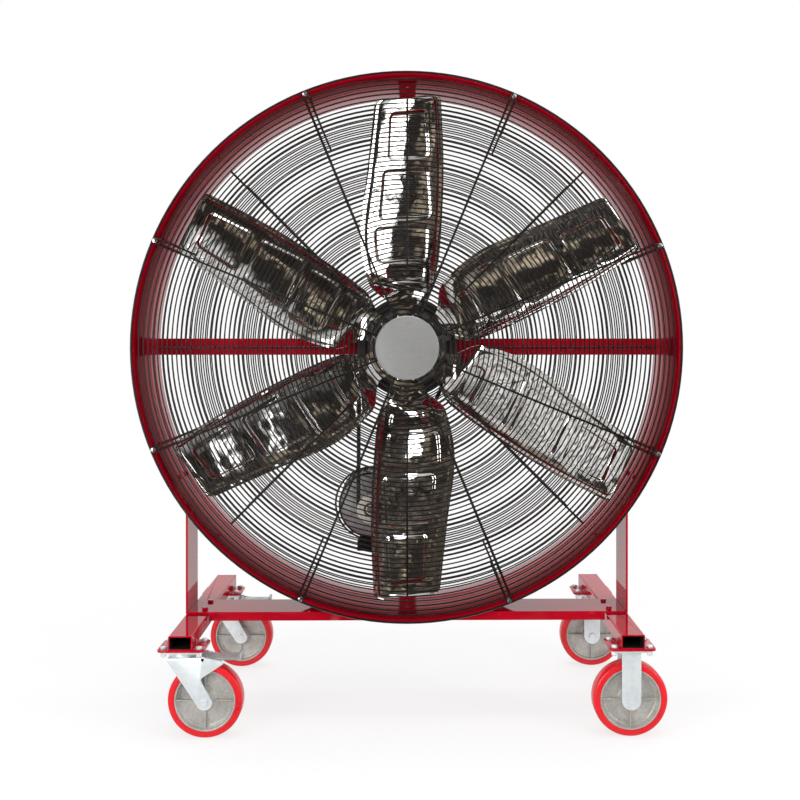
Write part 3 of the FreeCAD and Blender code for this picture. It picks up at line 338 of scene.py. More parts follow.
castAluminium = metal("castAluminium", (0.56, 0.54, 0.51), (0.36, 0.345, 0.32), (160.0, 160.0, 160.0), 16.0,
                      (0.34, 0.52), 0.22, metallic=0.35)
motorGrey = metal("motorAlloy", (0.40, 0.395, 0.385), (0.25, 0.245, 0.24), (190.0, 190.0, 190.0), 20.0,
                  (0.30, 0.50), 0.2, metallic=0.35)
brushedPlate = metal("brushedPlate", (0.45, 0.45, 0.45), (0.36, 0.36, 0.36), (14.0, 60.0, 900.0), 12.0,
                     (0.26, 0.40), 0.12, metallic=0.6)
shaftSteel = metal("groundSteel", (0.62, 0.62, 0.62), (0.45, 0.45, 0.46), (40.0, 900.0, 40.0), 30.0,
                   (0.16, 0.32), 0.06, metallic=1.0)
polishedSheave = metal("turnedSheave", (1.0, 0.95, 0.84), (0.86, 0.80, 0.68), (40.0, 600.0, 40.0), 30.0,
                       (0.20, 0.36), 0.06, metallic=0.5)
pedalGrey = metal("pedalSteel", (0.46, 0.48, 0.49), (0.30, 0.315, 0.325), (60.0, 60.0, 60.0), 26.0,
                  (0.30, 0.48), 0.08, metallic=0.5)


def partsOf(mat):  # tree, shader, group node and the place on the object
    tree = mat.node_tree
    skin = [node for node in tree.nodes if node.type == "GROUP"][0]
    return tree, tree.nodes["Principled BSDF"], skin, placeIn(tree)


def paintedLightInside(mat, front, back, dull, bright, deep, lit):  # inner wall with painted light: painted shade deep in front, painted light at the rear
    tree, shader, skin, place = partsOf(mat)
    normal = addNode(tree, "NewGeometry").outputs["Normal"]
    split = addNode(tree, "SeparateXYZ", Vector=place)
    outward = mathNode(tree, "SUBTRACT", place, hub, kind="VectorMath", out="Vector")
    facing = mathNode(tree, "DOT_PRODUCT", outward, normal, kind="VectorMath")
    inside = mathNode(tree, "LESS_THAN", facing, 0.0)
    toRear = spread(tree, split.outputs["Y"], front, back, 0.0, 1.0)
    # painted light: the inner wall's red runs from painted shade in front to painted light at the rear
    wall = mixColour(tree, toRear, deep, lit)
    tree.links.new(mixColour(tree, inside, skin.outputs["Colour"], wall), shader.inputs["Base Color"])
    outside = mathNode(tree, "SUBTRACT", 1.0, inside)
    gloss = spread(tree, mathNode(tree, "MAXIMUM", toRear, outside), 0.0, 1.0, dull, bright)
    tree.links.new(gloss, shader.inputs["Coat Weight"])


def paintRecessShade(mat, node, inner, outer, tone):  # painted shade in the recessed joint round the sheave's bushing
    tree, shader, skin, place = partsOf(mat)
    centre = middleOf(node)
    flat = mathNode(tree, "MULTIPLY", place, (1, 0, 1), kind="VectorMath", out="Vector")
    away = mathNode(tree, "DISTANCE", flat, (centre.x, 0, centre.z), kind="VectorMath")
    middle, half = (inner + outer) / 2, (outer - inner) / 2
    offset = mathNode(tree, "ABSOLUTE", mathNode(tree, "SUBTRACT", away, middle))
    # painted shade: a soft dark ring between the inner and outer radius
    shadeMask = spread(tree, offset, half * 0.7, half * 1.2, 1.0, 0.0)
    tree.links.new(mixColour(tree, shadeMask, skin.outputs["Colour"], tone), shader.inputs["Base Color"])


# painted shade in front and painted light at the rear of the drum's inner wall
paintedLightInside(redEnamelShaded, -0.17, 0.08, 0.12, 0.60, (0.22, 0.0015, 0.008, 1), (0.66, 0.022, 0.050, 1))
# painted shade in the sheave's recess round its bushing
paintRecessShade(polishedSheave, "motor_sheave", 0.014, 0.021, (0.10, 0.08, 0.065, 1))
print("materials built:", len(bpy.data.materials))

bySlot = {
    "red_paint": redPaint, "black_paint": blackPaint, "zinc_plate": zinc, "bright_steel": shaftSteel,
    "cast_iron": castBlack, "motor_alloy": motorGrey, "stainless": stainless, "red_tyre": tyreRed,
    "cast_aluminium": castAluminium, "belt_rubber": beltBlack,
}
special = {
    "motor_sheave": polishedSheave, "front_brake_pedal": pedalGrey, "rear_brake_pedal": pedalGrey,
    "strut_straps": redEnamelShaded, "drum": redEnamelShaded, "guard_plate": brushedPlate, "guard_bolts": shaftSteel,
    "blade_bolts": stainless, "motor_shell": blackPaint,
}
for name, slot in slotOf.items():
    nodes[name].data.materials.clear()
    nodes[name].data.materials.append(special.get(name, bySlot[slot]))

tubeSkin = 0.001  # less than the tube's wall
for name in ("left_leg_tube", "right_leg_tube"):  # painted shade: near-black on the inner faces of the legs
    tube = nodes[name].data
    tube.materials.append(tubeInsideShade)
    middle, (low, high) = middleOf(name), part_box(name)
    halfX, halfZ = ((high[k] - low[k]) / 2 - tubeSkin for k in (0, 2))
    for face in tube.polygons:
        within = abs(face.center.x - middle.x) < halfX and abs(face.center.z - middle.z) < halfZ
        if within and abs(face.normal.y) < 0.5:
            face.material_index = 1


# stamped blades
blade = {
    "count": 6, "thick": 0.0022, "foot": 0.112, "tip": 0.728, "root": 0.062, "middle": -0.1252,
    "across": 84, "along": 230, "camber": 0.07, "tipRound": 0.022,
    "padHigh": 0.0030, "padEdge": 0.0016, "padCorner": 0.014, "padLeast": 0.05, "padFade": 0.05,
    "hemHigh": 0.0012, "hemIn": 0.014, "hemWide": 0.004, "hemFade": 0.15, "bowFade": 0.1,
}
# share of the span, half chord to the left, half chord to the right, pitch in degrees
bladeStations = [(0.0, 0.042, 0.042, 0.0), (0.125, 0.128, 0.090, 27.0), (0.35, 0.158, 0.107, 27.0),
                 (0.66, 0.132, 0.114, 26.0), (1.0, 0.103, 0.103, 23.0)]
# pads pressed into the blade: span share from, to, left share, right share
bladePads = [(0.130, 0.200, -0.50, 0.36), (0.225, 0.390, -0.70, 0.38), (0.430, 0.660, -0.62, 0.46),
             (0.715, 0.930, -0.53, 0.50)]


def eased(share, column):  # Catmull-Rom through the stations
    rows = bladeStations
    last = len(rows) - 1
    k = 0
    while k < last - 1 and share > rows[k + 1][0]:
        k += 1
    low, high = rows[k], rows[k + 1]
    t = (share - low[0]) / (high[0] - low[0])
    before, after = rows[max(k - 1, 0)], rows[min(k + 2, last)]
    span = high[0] - low[0]
    slopeLow = 0 if k == 0 else (high[column] - before[column]) / (high[0] - before[0]) * span
    slopeHigh = (after[column] - low[column]) / (after[0] - low[0]) * span
    t2, t3 = t * t, t * t * t
    return ((2 * t3 - 3 * t2 + 1) * low[column] + (t3 - 2 * t2 + t) * slopeLow
            + (3 * t2 - 2 * t3) * high[column] + (t3 - t2) * slopeHigh)


def boxDistance(x, y, halfX, halfY, corner):  # signed distance to a rounded rectangle
    dx = abs(x) - halfX + corner
    dy = abs(y) - halfY + corner
    return math.hypot(max(dx, 0), max(dy, 0)) + min(max(dx, dy), 0) - corner


def padLift(across, height):  # height of the pressed pads, metres out of the sheet
    foot, span = blade["foot"], blade["tip"] - blade["foot"]
    wide = max(eased(min(max((height - foot) / span, 0), 1), 1), blade["padLeast"])
    lift = 0
    for start, stop, left, right in bladePads:
        low, high = foot + span * start, foot + span * stop
        leftX, rightX = left * wide, right * wide
        away = boxDistance(across - (leftX + rightX) / 2, height - (low + high) / 2,
                           (rightX - leftX) / 2, (high - low) / 2, blade["padCorner"])
        lift += blade["padHigh"] / (1 + math.exp(min(max(away / blade["padEdge"], -40), 40)))
    return lift


def bladePoint(u, v):  # u runs from the left edge to the right, v from root to tip
    height = blade["root"] + (blade["tip"] - blade["root"]) * v
    share = max((height - blade["foot"]) / (blade["tip"] - blade["foot"]), 0)
    left, right, pitch = (eased(share, column) for column in (1, 2, 3))
    toTip = blade["tip"] - height
    if toTip < blade["tipRound"]:  # round the two corners of the tip
        r = blade["tipRound"]
        pull = r - math.sqrt(max(r * r - (r - toTip) ** 2, 0))
        left, right = left - pull, right - pull
    chord = left + right
    across = -left + chord * u
    bow = blade["camber"] * chord * (1 - ((across - (right - left) / 2) / (chord / 2)) ** 2)
    bow *= min(share / blade["bowFade"], 1)
    seat = -padLift(across, height) * min(max((share - blade["bowFade"]) / blade["padFade"], 0), 1)
    edge = min(across + left, right - across)
    hem = math.exp(-((edge - blade["hemIn"]) / blade["hemWide"]) ** 2)
    seat -= blade["hemHigh"] * hem * min(share / blade["hemFade"], 1)
    lean = math.radians(pitch)
    x = across * math.cos(lean) + (bow + seat) * math.sin(lean)
    y = -across * math.sin(lean) + (bow + seat) * math.cos(lean)
    return Vector((x, blade["middle"] + y, hub.z + height))


def buildBlade():
    bpy.ops.mesh.primitive_grid_add(x_subdivisions=blade["across"], y_subdivisions=blade["along"], size=1)
    sheet = bpy.context.active_object
    for vertex in sheet.data.vertices:
        vertex.co = bladePoint(vertex.co.x + 0.5, vertex.co.y + 0.5)
    sheet.name = "blade_stamped_1"
    applyModifier(sheet, "SOLIDIFY", thickness=blade["thick"], offset=-1)
    mendShell(sheet)
    smoothBy(sheet, 50)
    return sheet


firstBlade = buildBlade()
bladePieces = [firstBlade]
for index in range(1, blade["count"]):
    turn = spinAbout("Y", 2 * math.pi * index / blade["count"], hub)
    bladePieces.append(copyOf(firstBlade, "blade_stamped_%d" % (index + 1), turn))
for index, piece in enumerate(bladePieces):
    finishPiece(piece, "blade_%d" % (index + 1), "rotor")
print("blades:", len(bladePieces))


# drum shell with rolled lips
drum = {"bore": 0.762, "wall": 0.003, "lip": 0.013, "lipThick": 0.004, "flare": 0.011, "flareLong": 0.045,
        "flareSteps": 8, "edge": 0.0014, "steps": 288}
drumLow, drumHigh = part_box("drum")


def buildDrum():
    bore, skin = drum["bore"], drum["bore"] + drum["wall"]
    front, back = drumLow[1], drumHigh[1]
    lip, thick = skin + drum["lip"], drum["lipThick"]
    mouth = []
    for step in range(drum["flareSteps"] + 1):  # quarter ellipse from the bore out to the front lip
        turn = math.pi / 2 * step / drum["flareSteps"]
        mouth.append((bore + drum["flare"] * (1 - math.cos(turn)),
                      front + drum["flareLong"] * (1 - math.sin(turn))))
    outside = [(r + drum["wall"], y) for r, y in mouth if y > front + thick]
    profile = mouth + [(lip, front), (lip, front + thick), (outside[-1][0], front + thick)] + outside[::-1]
    profile += [(skin, back - thick), (lip, back - thick), (lip, back), (bore, back)]
    shell = lathe("drum_shell", profile, hub, drum["steps"])
    roundEdges(shell, drum["edge"], 3)
    smoothBy(shell, 40)
    finishPiece(shell, "drum")


buildDrum()


# caster wheels
wheel = {"radius": 0.1016, "halfTread": 0.0254, "core": 0.0830, "ribs": 4, "ribFrom": 0.022, "ribTo": 0.078,
         "ribHigh": 0.020, "ribHalf": 0.00165, "tyreEdge": 0.0016, "coreEdge": 0.0012, "ribEdge": 0.0010,
         "steps": 96}
# tyre shoulder: in from the tread, in from the side
tyreShoulder = [(0.007, 0.0), (0.002, 0.003), (0.0, 0.009)]
# half section of the core: radius, distance from the middle
coreSection = [(0.01005, 0.029), (0.024, 0.029), (0.030, 0.013), (0.038, 0.009), (0.069, 0.009),
               (0.072, 0.012), (0.076, 0.012), (0.079, 0.0244), (0.083, 0.0244)]
wheelTags = ["front_left", "rear_left", "front_right", "rear_right"]


def buildWheel(tag, centre):
    full, core, half = wheel["radius"], wheel["core"], wheel["halfTread"]
    tread = [(core, -half)] + [(full - r, y - half) for r, y in tyreShoulder]
    tread += [(full - r, half - y) for r, y in reversed(tyreShoulder)] + [(core, half)]
    tyre = lathe(tag + "_tyre_cast", tread, centre, wheel["steps"])
    roundEdges(tyre, wheel["tyreEdge"], 3, 25)
    smoothBy(tyre, 40)
    finishPiece(tyre, tag + "_tyre", tag + "_wheel")
    profile = [(r, -y) for r, y in coreSection] + [(r, y) for r, y in reversed(coreSection)]
    pieces = [lathe("core", profile, centre, wheel["steps"])]
    roundEdges(pieces[0], wheel["coreEdge"], 2, 30)
    for index in range(wheel["ribs"]):
        rib = block("rib", centre + Vector((wheel["ribFrom"], -wheel["ribHigh"], -wheel["ribHalf"])),
                    centre + Vector((wheel["ribTo"], wheel["ribHigh"], wheel["ribHalf"])))
        intoEdit(rib)
        bpy.ops.mesh.subdivide(number_cuts=2)
        outOfEdit()
        roundEdges(rib, wheel["ribEdge"])
        rib.data.transform(spinAbout("Y", 2 * math.pi * index / wheel["ribs"], centre))
        pieces.append(rib)
    joinFinish(pieces, tag + "_core_cast", tag + "_wheel_core", tag + "_wheel")


for tag in wheelTags:
    buildWheel(tag, middleOf(tag + "_tyre"))
print("wheels:", len(wheelTags))


# centre plate, bare
plate = {"short": 0.0005, "pin": 0.0001, "steps": 96,
         "edge": [(0.010, 0.0), (0.006, 0.0006), (0.001, 0.0004), (0.0, 0.0012)]}


def buildPlate():
    low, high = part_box("guard_plate")
    radius, pin = (high[0] - low[0]) / 2 - plate["short"], plate["pin"]
    profile = [(pin, low[1])] + [(radius - r, low[1] + y) for r, y in plate["edge"]]
    profile += [(radius, high[1]), (pin, high[1])]
    disc = lathe("guard_plate_disc", profile, hub, plate["steps"])
    smoothBy(disc, 30)
    finishPiece(disc, "guard_plate")


buildPlate()


# wire guards
guard = {
    "ringWire": 0.002, "spokeWire": 0.003, "rimWire": 0.003, "inner": 0.064, "pitch": 0.0135, "edge": 0.012,
    "dish": 0.040, "rim": 0.778, "spokes": 8, "doubleGap": 0.014, "shortLong": 0.125, "singleFrom": 0.227,
    "singleTo": 0.700, "hoop": 0.112, "firstRing": 0.25, "steps": 144, "arcSteps": 8, "sides": 6,
    "spokeSides": 8, "spokeEdge": 0.35, "seam": 0.000001,
}
motorAt = middleOf("motor_shell")
wireEnd = guard["rim"] - guard["rimWire"] - guard["spokeWire"]


def wireRing(radius, y, wire, centre):
    bpy.ops.mesh.primitive_torus_add(major_radius=radius, minor_radius=wire, major_segments=guard["steps"],
                                     minor_segments=guard["sides"], location=(centre.x, y, centre.z),
                                     rotation=(math.pi / 2, 0, 0))
    ring = bpy.context.active_object
    settle(ring)
    return ring


def wireArc(radius, y, wire, start, sweep):  # angles run clockwise from the right, seen from the front
    steps = max(int(guard["steps"] * sweep / (2 * math.pi)), guard["arcSteps"])
    sides = guard["sides"]
    points, faces = [], []
    for step in range(steps + 1):
        angle = start + sweep * step / steps
        for side in range(sides):
            lean = 2 * math.pi * side / sides
            reach = radius + wire * math.cos(lean)
            points.append((reach * math.cos(angle), y + wire * math.sin(lean),
                           hub.z - reach * math.sin(angle)))
    for step in range(steps):
        for side in range(sides):
            a, b = step * sides + side, step * sides + (side + 1) % sides
            faces.append((a, b, b + sides, a + sides))
    faces.append(tuple(range(sides)))
    faces.append(tuple(range(steps * sides, (steps + 1) * sides)))
    mesh = bpy.data.meshes.new("wireArc")
    mesh.from_pydata(points, [], faces)
    arc = bpy.data.objects.new("wireArc", mesh)
    bpy.context.collection.objects.link(arc)
    return arc


def straightWire(first, last, wire):
    run = last - first
    bpy.ops.mesh.primitive_cylinder_add(vertices=guard["spokeSides"], radius=wire, depth=run.length,
                                        location=(first + last) / 2,
                                        rotation=run.to_track_quat("Z", "Y").to_euler())
    rod = bpy.context.active_object
    settle(rod)
    roundEdges(rod, wire * guard["spokeEdge"], 2, 50)
    return rod


def clearOfMotor(first, last, stop):  # parts of a straight wire outside the motor's hoop
    run = last - first
    offset = Vector((first.x - motorAt.x, 0, first.z - motorAt.z))
    a = run.x ** 2 + run.z ** 2
    b = 2 * (offset.x * run.x + offset.z * run.z)
    c = offset.x ** 2 + offset.z ** 2 - stop ** 2
    under = b * b - 4 * a * c
    if under <= 0:
        return [(first, last)]
    near = (-b - math.sqrt(under)) / (2 * a)
    far = (-b + math.sqrt(under)) / (2 * a)
    pieces = []
    if near > 0:
        pieces.append((first, first + run * min(near, 1)))
    if far < 1:
        pieces.append((first + run * max(far, 0), last))
    return pieces


def spokeLines(heightAt):
    lines = []
    step = 2 * math.pi / guard["spokes"]
    for index in range(guard["spokes"]):
        rows = [(step * (index + 0.5), 0, guard["inner"], wireEnd),
                (step * (index + 0.5), guard["doubleGap"], wireEnd - guard["shortLong"], wireEnd),
                (step * index, 0, guard["singleFrom"], guard["singleTo"])]
        for angle, shift, near, far in rows:
            out = Vector((math.cos(angle), 0, -math.sin(angle)))
            base = hub + Vector((-math.sin(angle), 0, -math.cos(angle))) * shift
            lines.append(tuple(base + out * r + Vector((0, heightAt(r), 0)) for r in (near, far)))
    return lines


def ringPlaces(face, way, dish):  # radius and Y of each ring on the outer side of the spokes
    run = math.hypot(wireEnd - guard["inner"], dish)
    slope = Vector(((wireEnd - guard["inner"]) / run, -way * dish / run))
    lift = guard["spokeWire"] + guard["ringWire"]
    aside = Vector((-slope.y, slope.x)) * way * lift
    start = Vector((guard["inner"], face + way * dish)) + aside
    pitch, first = guard["pitch"], guard["firstRing"]
    spots = [start + slope * pitch * (k + first) for k in range(int(run / pitch))]
    return [spot for spot in spots if spot.x < wireEnd - guard["edge"]]


def buildGuard(name, face, way, dish, node):
    spokeY = face + way * guard["spokeWire"]

    def heightAt(radius):
        return spokeY + way * dish * (wireEnd - radius) / (wireEnd - guard["inner"])

    wires = [wireRing(guard["rim"], face + way * guard["rimWire"], guard["rimWire"], hub)]
    lines = spokeLines(heightAt)
    hoopWay = math.hypot(motorAt.x - hub.x, motorAt.z - hub.z)
    hoopAngle = math.atan2(hub.z - motorAt.z, motorAt.x - hub.x)
    if way > 0:
        wires.append(wireRing(guard["hoop"], spokeY, guard["spokeWire"], motorAt))
        lines = [part for line in lines for part in clearOfMotor(*line, guard["hoop"] + guard["spokeWire"])]
    for spot in ringPlaces(spokeY, way, dish):
        if way > 0 and abs(hoopWay - spot.x) < guard["hoop"]:
            cosine = (spot.x ** 2 + hoopWay ** 2 - guard["hoop"] ** 2) / (2 * spot.x * hoopWay)
            half = math.acos(cosine)
            wires.append(wireArc(spot.x, spot.y, guard["ringWire"], hoopAngle + half, 2 * math.pi - 2 * half))
        else:
            wires.append(wireRing(spot.x, spot.y, guard["ringWire"], hub))
    wires += [straightWire(first, last, guard["spokeWire"]) for first, last in lines]
    whole = joinAll(wires, name)
    mendShell(whole, guard["seam"])
    smoothBy(whole, 60)
    finishPiece(whole, node)


buildGuard("front_guard_wires", drumLow[1], -1, guard["dish"], "front_guard")
buildGuard("rear_guard_wires", drumHigh[1], 1, 0.0, "rear_guard")
print("guards built")


# bolts with hexagon heads in place of the plain ones
def looseIslands(node):
    twin = nodes[node].copy()
    twin.data = nodes[node].data.copy()
    twin.parent = None
    bpy.context.collection.objects.link(twin)
    intoEdit(twin)
    bpy.ops.mesh.remove_doubles(threshold=0.00001)
    bpy.ops.mesh.separate(type="LOOSE")
    outOfEdit()
    parts = list(bpy.context.selected_objects)
    islands = [[vertex.co.copy() for vertex in part.data.vertices] for part in parts]
    for part in parts:
        bpy.data.objects.remove(part)
    return islands


# shares of the shank's radius
hexagon = {"wide": 1.72, "high": 1.3, "edge": 0.14, "collar": 1.70, "collarHigh": 0.18, "collarEdge": 0.05,
           "shankFrom": 0.5, "shankEdge": 0.12, "past": 2.0, "nut": 1.6}
washerEdge = 0.2  # share of the washer's thickness


def hexBolt(size, grip, nut, washer):  # head below the origin, shank up Z
    def part(sides, radius, low, high, edge):
        bpy.ops.mesh.primitive_cylinder_add(vertices=sides, radius=radius, depth=high - low,
                                            location=(0, 0, (low + high) / 2))
        piece = bpy.context.active_object
        settle(piece)
        roundEdges(piece, edge, 2, 50)
        return piece
    h = {key: share * size for key, share in hexagon.items()}
    pieces = [part(6, h["wide"], -h["high"], -h["collarHigh"], h["edge"]),
              part(20, h["collar"], -h["collarHigh"], 0, h["collarEdge"]),
              part(12, size, -h["shankFrom"], grip + h["past"] if nut else grip, h["shankEdge"])]
    if nut:
        pieces.append(part(6, h["wide"], grip, grip + h["nut"], h["edge"]))
    if washer:
        pieces.append(part(24, washer[0], 0, washer[1], washerEdge * washer[1]))
    return joinAll(pieces, "boltMaster")


def dressBolts(node, size, wayOf, washer=None, turn=0.0, body="base"):
    masters, copies = {}, []
    for points in looseIslands(node):
        low = Vector([min(p[k] for p in points) for k in range(3)])
        high = Vector([max(p[k] for p in points) for k in range(3)])
        centre = (low + high) / 2
        way = wayOf(centre)
        reach = [(p - centre).dot(way) for p in points]
        start = min(reach) + hexagon["high"] * size
        grip = max(reach) - start - hexagon["past"] * size
        key = round(grip, 5)
        if key not in masters:
            masters[key] = hexBolt(size, grip, True, washer)
        place = standAt(centre + way * start, way) @ Matrix.Rotation(turn, 4, "Z")
        copies.append(copyOf(masters[key], node + "_part", place))
    for master in masters.values():
        bpy.data.objects.remove(master)
    joinFinish(copies, node + "_hex", node, body)


def fromHub(spot):
    return Vector((spot.x, 0, spot.z - hub.z)).normalized()


drumMiddle, bearingMiddle = (drumLow[1] + drumHigh[1]) / 2, 0.035
downWay, backWay, frontWay = Vector((0, 0, -1)), Vector((0, 1, 0)), Vector((0, -1, 0))
dressBolts("guard_bolts", 0.003, lambda c: backWay if c.y < drumMiddle else frontWay,
           (0.0068, 0.0016))
dressBolts("base_bolts", 0.005, lambda c: downWay, (0.0105, 0.0014), 0.4)
dressBolts("caster_bolts", 0.005, lambda c: downWay, (0.0105, 0.0012))
dressBolts("drum_bolts", 0.004, fromHub)
dressBolts("blade_bolts", 0.004, lambda c: backWay, body="rotor")
dressBolts("bearing_bolts", 0.005, lambda c: backWay if c.y < bearingMiddle else frontWay)
print("bolts dressed")


# flat pieces cut from an outline in X and Z
def cutPlate(name, outline, front, back, edge):
    sheet = drawnLine(name, [Vector((x, front, z)) for x, z in outline])
    intoEdit(sheet)
    bpy.ops.mesh.edge_face_add()
    bpy.ops.mesh.extrude_region_move(TRANSFORM_OT_translate={"value": (0, back - front, 0)})
    bpy.ops.mesh.select_all(action="SELECT")
    bpy.ops.mesh.normals_make_consistent(inside=False)
    outOfEdit()
    roundEdges(sheet, edge, 2, 40)
    return sheet


def roundedSlab(name, low, high, corner, edge):
    slab = block(name, low, high)
    intoEdit(slab, "DESELECT")
    bpy.ops.mesh.select_mode(type="EDGE")
    outOfEdit()
    for line in slab.data.edges:
        a, b = (slab.data.vertices[k].co for k in line.vertices)
        line.select = abs(a.x - b.x) < 1e-6 and abs(a.y - b.y) < 1e-6
    bpy.ops.object.mode_set(mode="EDIT")
    bpy.ops.mesh.bevel(offset=corner, segments=5, affect="EDGES")
    outOfEdit()
    roundEdges(slab, edge, 2, 40)
    return slab


def arcPoints(x, z, radius, first, last, count):
    turns = [math.radians(first + (last - first) * k / count) for k in range(count + 1)]
    return [(x + radius * math.cos(t), z + radius * math.sin(t)) for t in turns]


# caster forks, plates and pads
caster = {"gap": 0.031, "thick": 0.005, "plate": 0.2353, "plateHalf": (0.057, 0.051), "plateCorner": 0.012,
          "edge": 0.0008, "pad": (0.0635, 0.057), "padLow": 0.2413, "padHigh": 0.24765, "padCorner": 0.014,
          "padEdge": 0.0012, "axleZ": 0.1016, "strapHalf": 0.026, "axleBolt": 0.0058, "trail": 0.060,
          "x": 0.608, "y": 0.324, "crownLow": 0.213, "crownTop": 0.219, "crown": (-0.040, 0.046),
          "crownHalf": 0.035, "crownCorner": 0.004, "crownEdge": 0.001, "boss": 0.022,
          "heel": (-0.098, -0.100), "ear": (-0.004, 0.003, 0.0085)}
# right side of a swivel cheek, X and Z from the axle
cheekSide = [(-0.006, 0.052), (-0.009, 0.060), (-0.005, 0.066), (0.047, 0.100), (0.052, 0.104),
             (0.052, 0.110)]
# turned sections: radius, height
raceSection = [(0.009, 0.2185), (0.032, 0.2185), (0.036, 0.2225), (0.036, 0.229), (0.033, 0.2345),
               (0.009, 0.2345)]
kingpinSection = [(0.0001, 0.2007), (0.011, 0.2007), (0.015, 0.203), (0.015, 0.2127), (0.008, 0.2127),
                  (0.008, 0.236), (0.0001, 0.236)]
casterEnds = {"front": -caster["y"], "rear": caster["y"]}
upAxis = (0, 0, 1)


def bothCheeks(name, outline, y):
    pieces = []
    for way in (-1, 1):
        near, far = sorted((y + way * caster["gap"], y + way * (caster["gap"] + caster["thick"])))
        pieces.append(cutPlate(name, outline, near, far, caster["edge"]))
    return pieces


def topPlate(name, x, y):
    halfX, halfY = caster["plateHalf"]
    return roundedSlab(name, (x - halfX, y - halfY, caster["plate"]),
                       (x + halfX, y + halfY, caster["padLow"]), caster["plateCorner"], caster["edge"])


def buildRigidForks():
    pieces = []
    x, half = caster["x"], caster["strapHalf"]
    outline = [(x - half, caster["plate"])] + arcPoints(x, caster["axleZ"], half, 180, 360, 14)
    outline.append((x + half, caster["plate"]))
    for y in casterEnds.values():
        pieces += bothCheeks("rigidCheek", outline, y) + [topPlate("rigidTop", x, y)]
    joinFinish(pieces, "rigid_forks_pressed", "rigid_forks")


def buildSwivelFork(end, y):
    pin, axle = -caster["x"], -caster["x"] + caster["trail"]
    low, crownLow, crownTop = caster["axleZ"], caster["crownLow"], caster["crownTop"]
    outline = [(axle + x, z) for x, z in zip(caster["heel"], (crownTop, crownLow))]
    outline += arcPoints(axle, low, caster["boss"], 196, 366, 14)
    outline += [(axle + x, low + z) for x, z in cheekSide]
    earX, earZ, earRadius = caster["ear"]  # carries the pedal's pivot
    outline += arcPoints(axle + earX, crownLow + earZ, earRadius, 40, 130, 6)
    pieces = bothCheeks("swivelCheek", outline, y)
    (left, right), half = caster["crown"], caster["crownHalf"]
    pieces.append(roundedSlab("crown", (pin + left, y - half, crownLow), (pin + right, y + half, crownTop),
                              caster["crownCorner"], caster["crownEdge"]))
    pieces.append(lathe("race", raceSection, (pin, y, 0), 48, upAxis))
    joinFinish(pieces, end + "_swivel_fork_pressed", end + "_swivel_fork", end + "_swivel")


def buildPlates():
    pieces = []
    for y in casterEnds.values():
        pieces.append(topPlate("swivelTop", -caster["x"], y))
        pieces.append(lathe("kingpin", kingpinSection, (-caster["x"], y, 0), 24, upAxis))
    joinFinish(pieces, "swivel_plates_pressed", "swivel_plates")
    pads = []
    halfX, halfY = caster["pad"]
    for x in (-caster["x"], caster["x"]):
        for y in casterEnds.values():
            pads.append(roundedSlab("pad", (x - halfX, y - halfY, caster["padLow"]),
                                    (x + halfX, y + halfY, caster["padHigh"]), caster["padCorner"],
                                    caster["padEdge"]))
    joinFinish(pads, "caster_pads_rounded", "caster_pads")


def axleAt(x, y):  # hexagon bolt across both cheeks
    bolt = hexBolt(caster["axleBolt"], 2 * (caster["gap"] + caster["thick"]), True, None)
    bolt.data.transform(standAt(Vector((x, y - caster["gap"] - caster["thick"], caster["axleZ"])), backWay))
    return bolt


def buildAxles():
    rigid = joinAll([axleAt(caster["x"], y) for y in casterEnds.values()], "rigid_axles_hex")
    finishPiece(rigid, "rigid_axles")
    for end, y in casterEnds.items():
        bolt = axleAt(caster["trail"] - caster["x"], y)
        bolt.name = end + "_swivel_axle_hex"
        finishPiece(bolt, end + "_swivel_axle", end + "_swivel")


buildAxles()
buildRigidForks()
for end, y in casterEnds.items():
    buildSwivelFork(end, y)
buildPlates()
print("casters built")


# motor
motor = {"radius": 0.101, "bore": 0.0131, "flange": 0.009, "flangeRun": 0.004, "shellEdge": 0.0012,
         "fins": 30, "finHigh": 0.007, "finHalf": 0.0013, "finRoot": 0.002, "finShort": 0.0005,
         "finEdge": 0.0006, "bellDeep": 0.015, "bellEdge": 0.001, "ribs": 8,
         "ribLow": (0.034, -0.004, -0.0025), "ribHigh": (0.0845, 0.002, 0.0025), "ribEdge": 0.0014,
         "bolts": 4, "boltRing": 0.078, "boltSize": 0.0032, "boltGrip": 0.004, "pin": 0.0001, "slotFrom": 0.086,
         "slotTo": 0.022, "slotPitch": 0.011, "steps": 96}
# end bell: radius, distance back from its nose or from its face
bellNose = [(0.0112, 0.0), (0.026, 0.0), (0.030, 0.002)]
bellFace = [(0.034, -0.001), (0.042, 0.0), (0.0825, 0.0), (0.0925, 0.004), (0.0945, 0.010)]
# rear cover: radius, distance in from the rear; slots: in from the slot's edge, depth
coverEdge = [(0.102, 0.010), (0.099, 0.003), (0.094, 0.0)]
coverSlot = [(0.0, 0.0), (0.001, 0.004), (0.0045, 0.004), (0.0055, 0.0)]
motorAxis = Vector((motorAt.x, 0, motorAt.z))


def buildMotorShell():
    low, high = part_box("motor_shell")
    front, back = low[1], high[1]
    bore, full, core = motor["bore"], motor["radius"], motor["radius"] - motor["finHigh"]
    lip, run = motor["flange"], motor["flange"] + motor["flangeRun"]
    profile = [(bore, front), (full, front), (full, front + lip), (core, front + run), (core, back - run),
               (full, back - lip), (full, back), (bore, back)]
    pieces = [lathe("barrel", profile, motorAxis, motor["steps"])]
    roundEdges(pieces[0], motor["shellEdge"], 2, 30)
    for index in range(motor["fins"]):
        fin = block("fin", motorAxis + Vector((core - motor["finRoot"], front + lip, -motor["finHalf"])),
                    motorAxis + Vector((full - motor["finShort"], back - lip, motor["finHalf"])))
        roundEdges(fin, motor["finEdge"])
        fin.data.transform(spinAbout("Y", 2 * math.pi * index / motor["fins"], motorAxis))
        pieces.append(fin)
    joinFinish(pieces, "motor_shell_finned", "motor_shell")


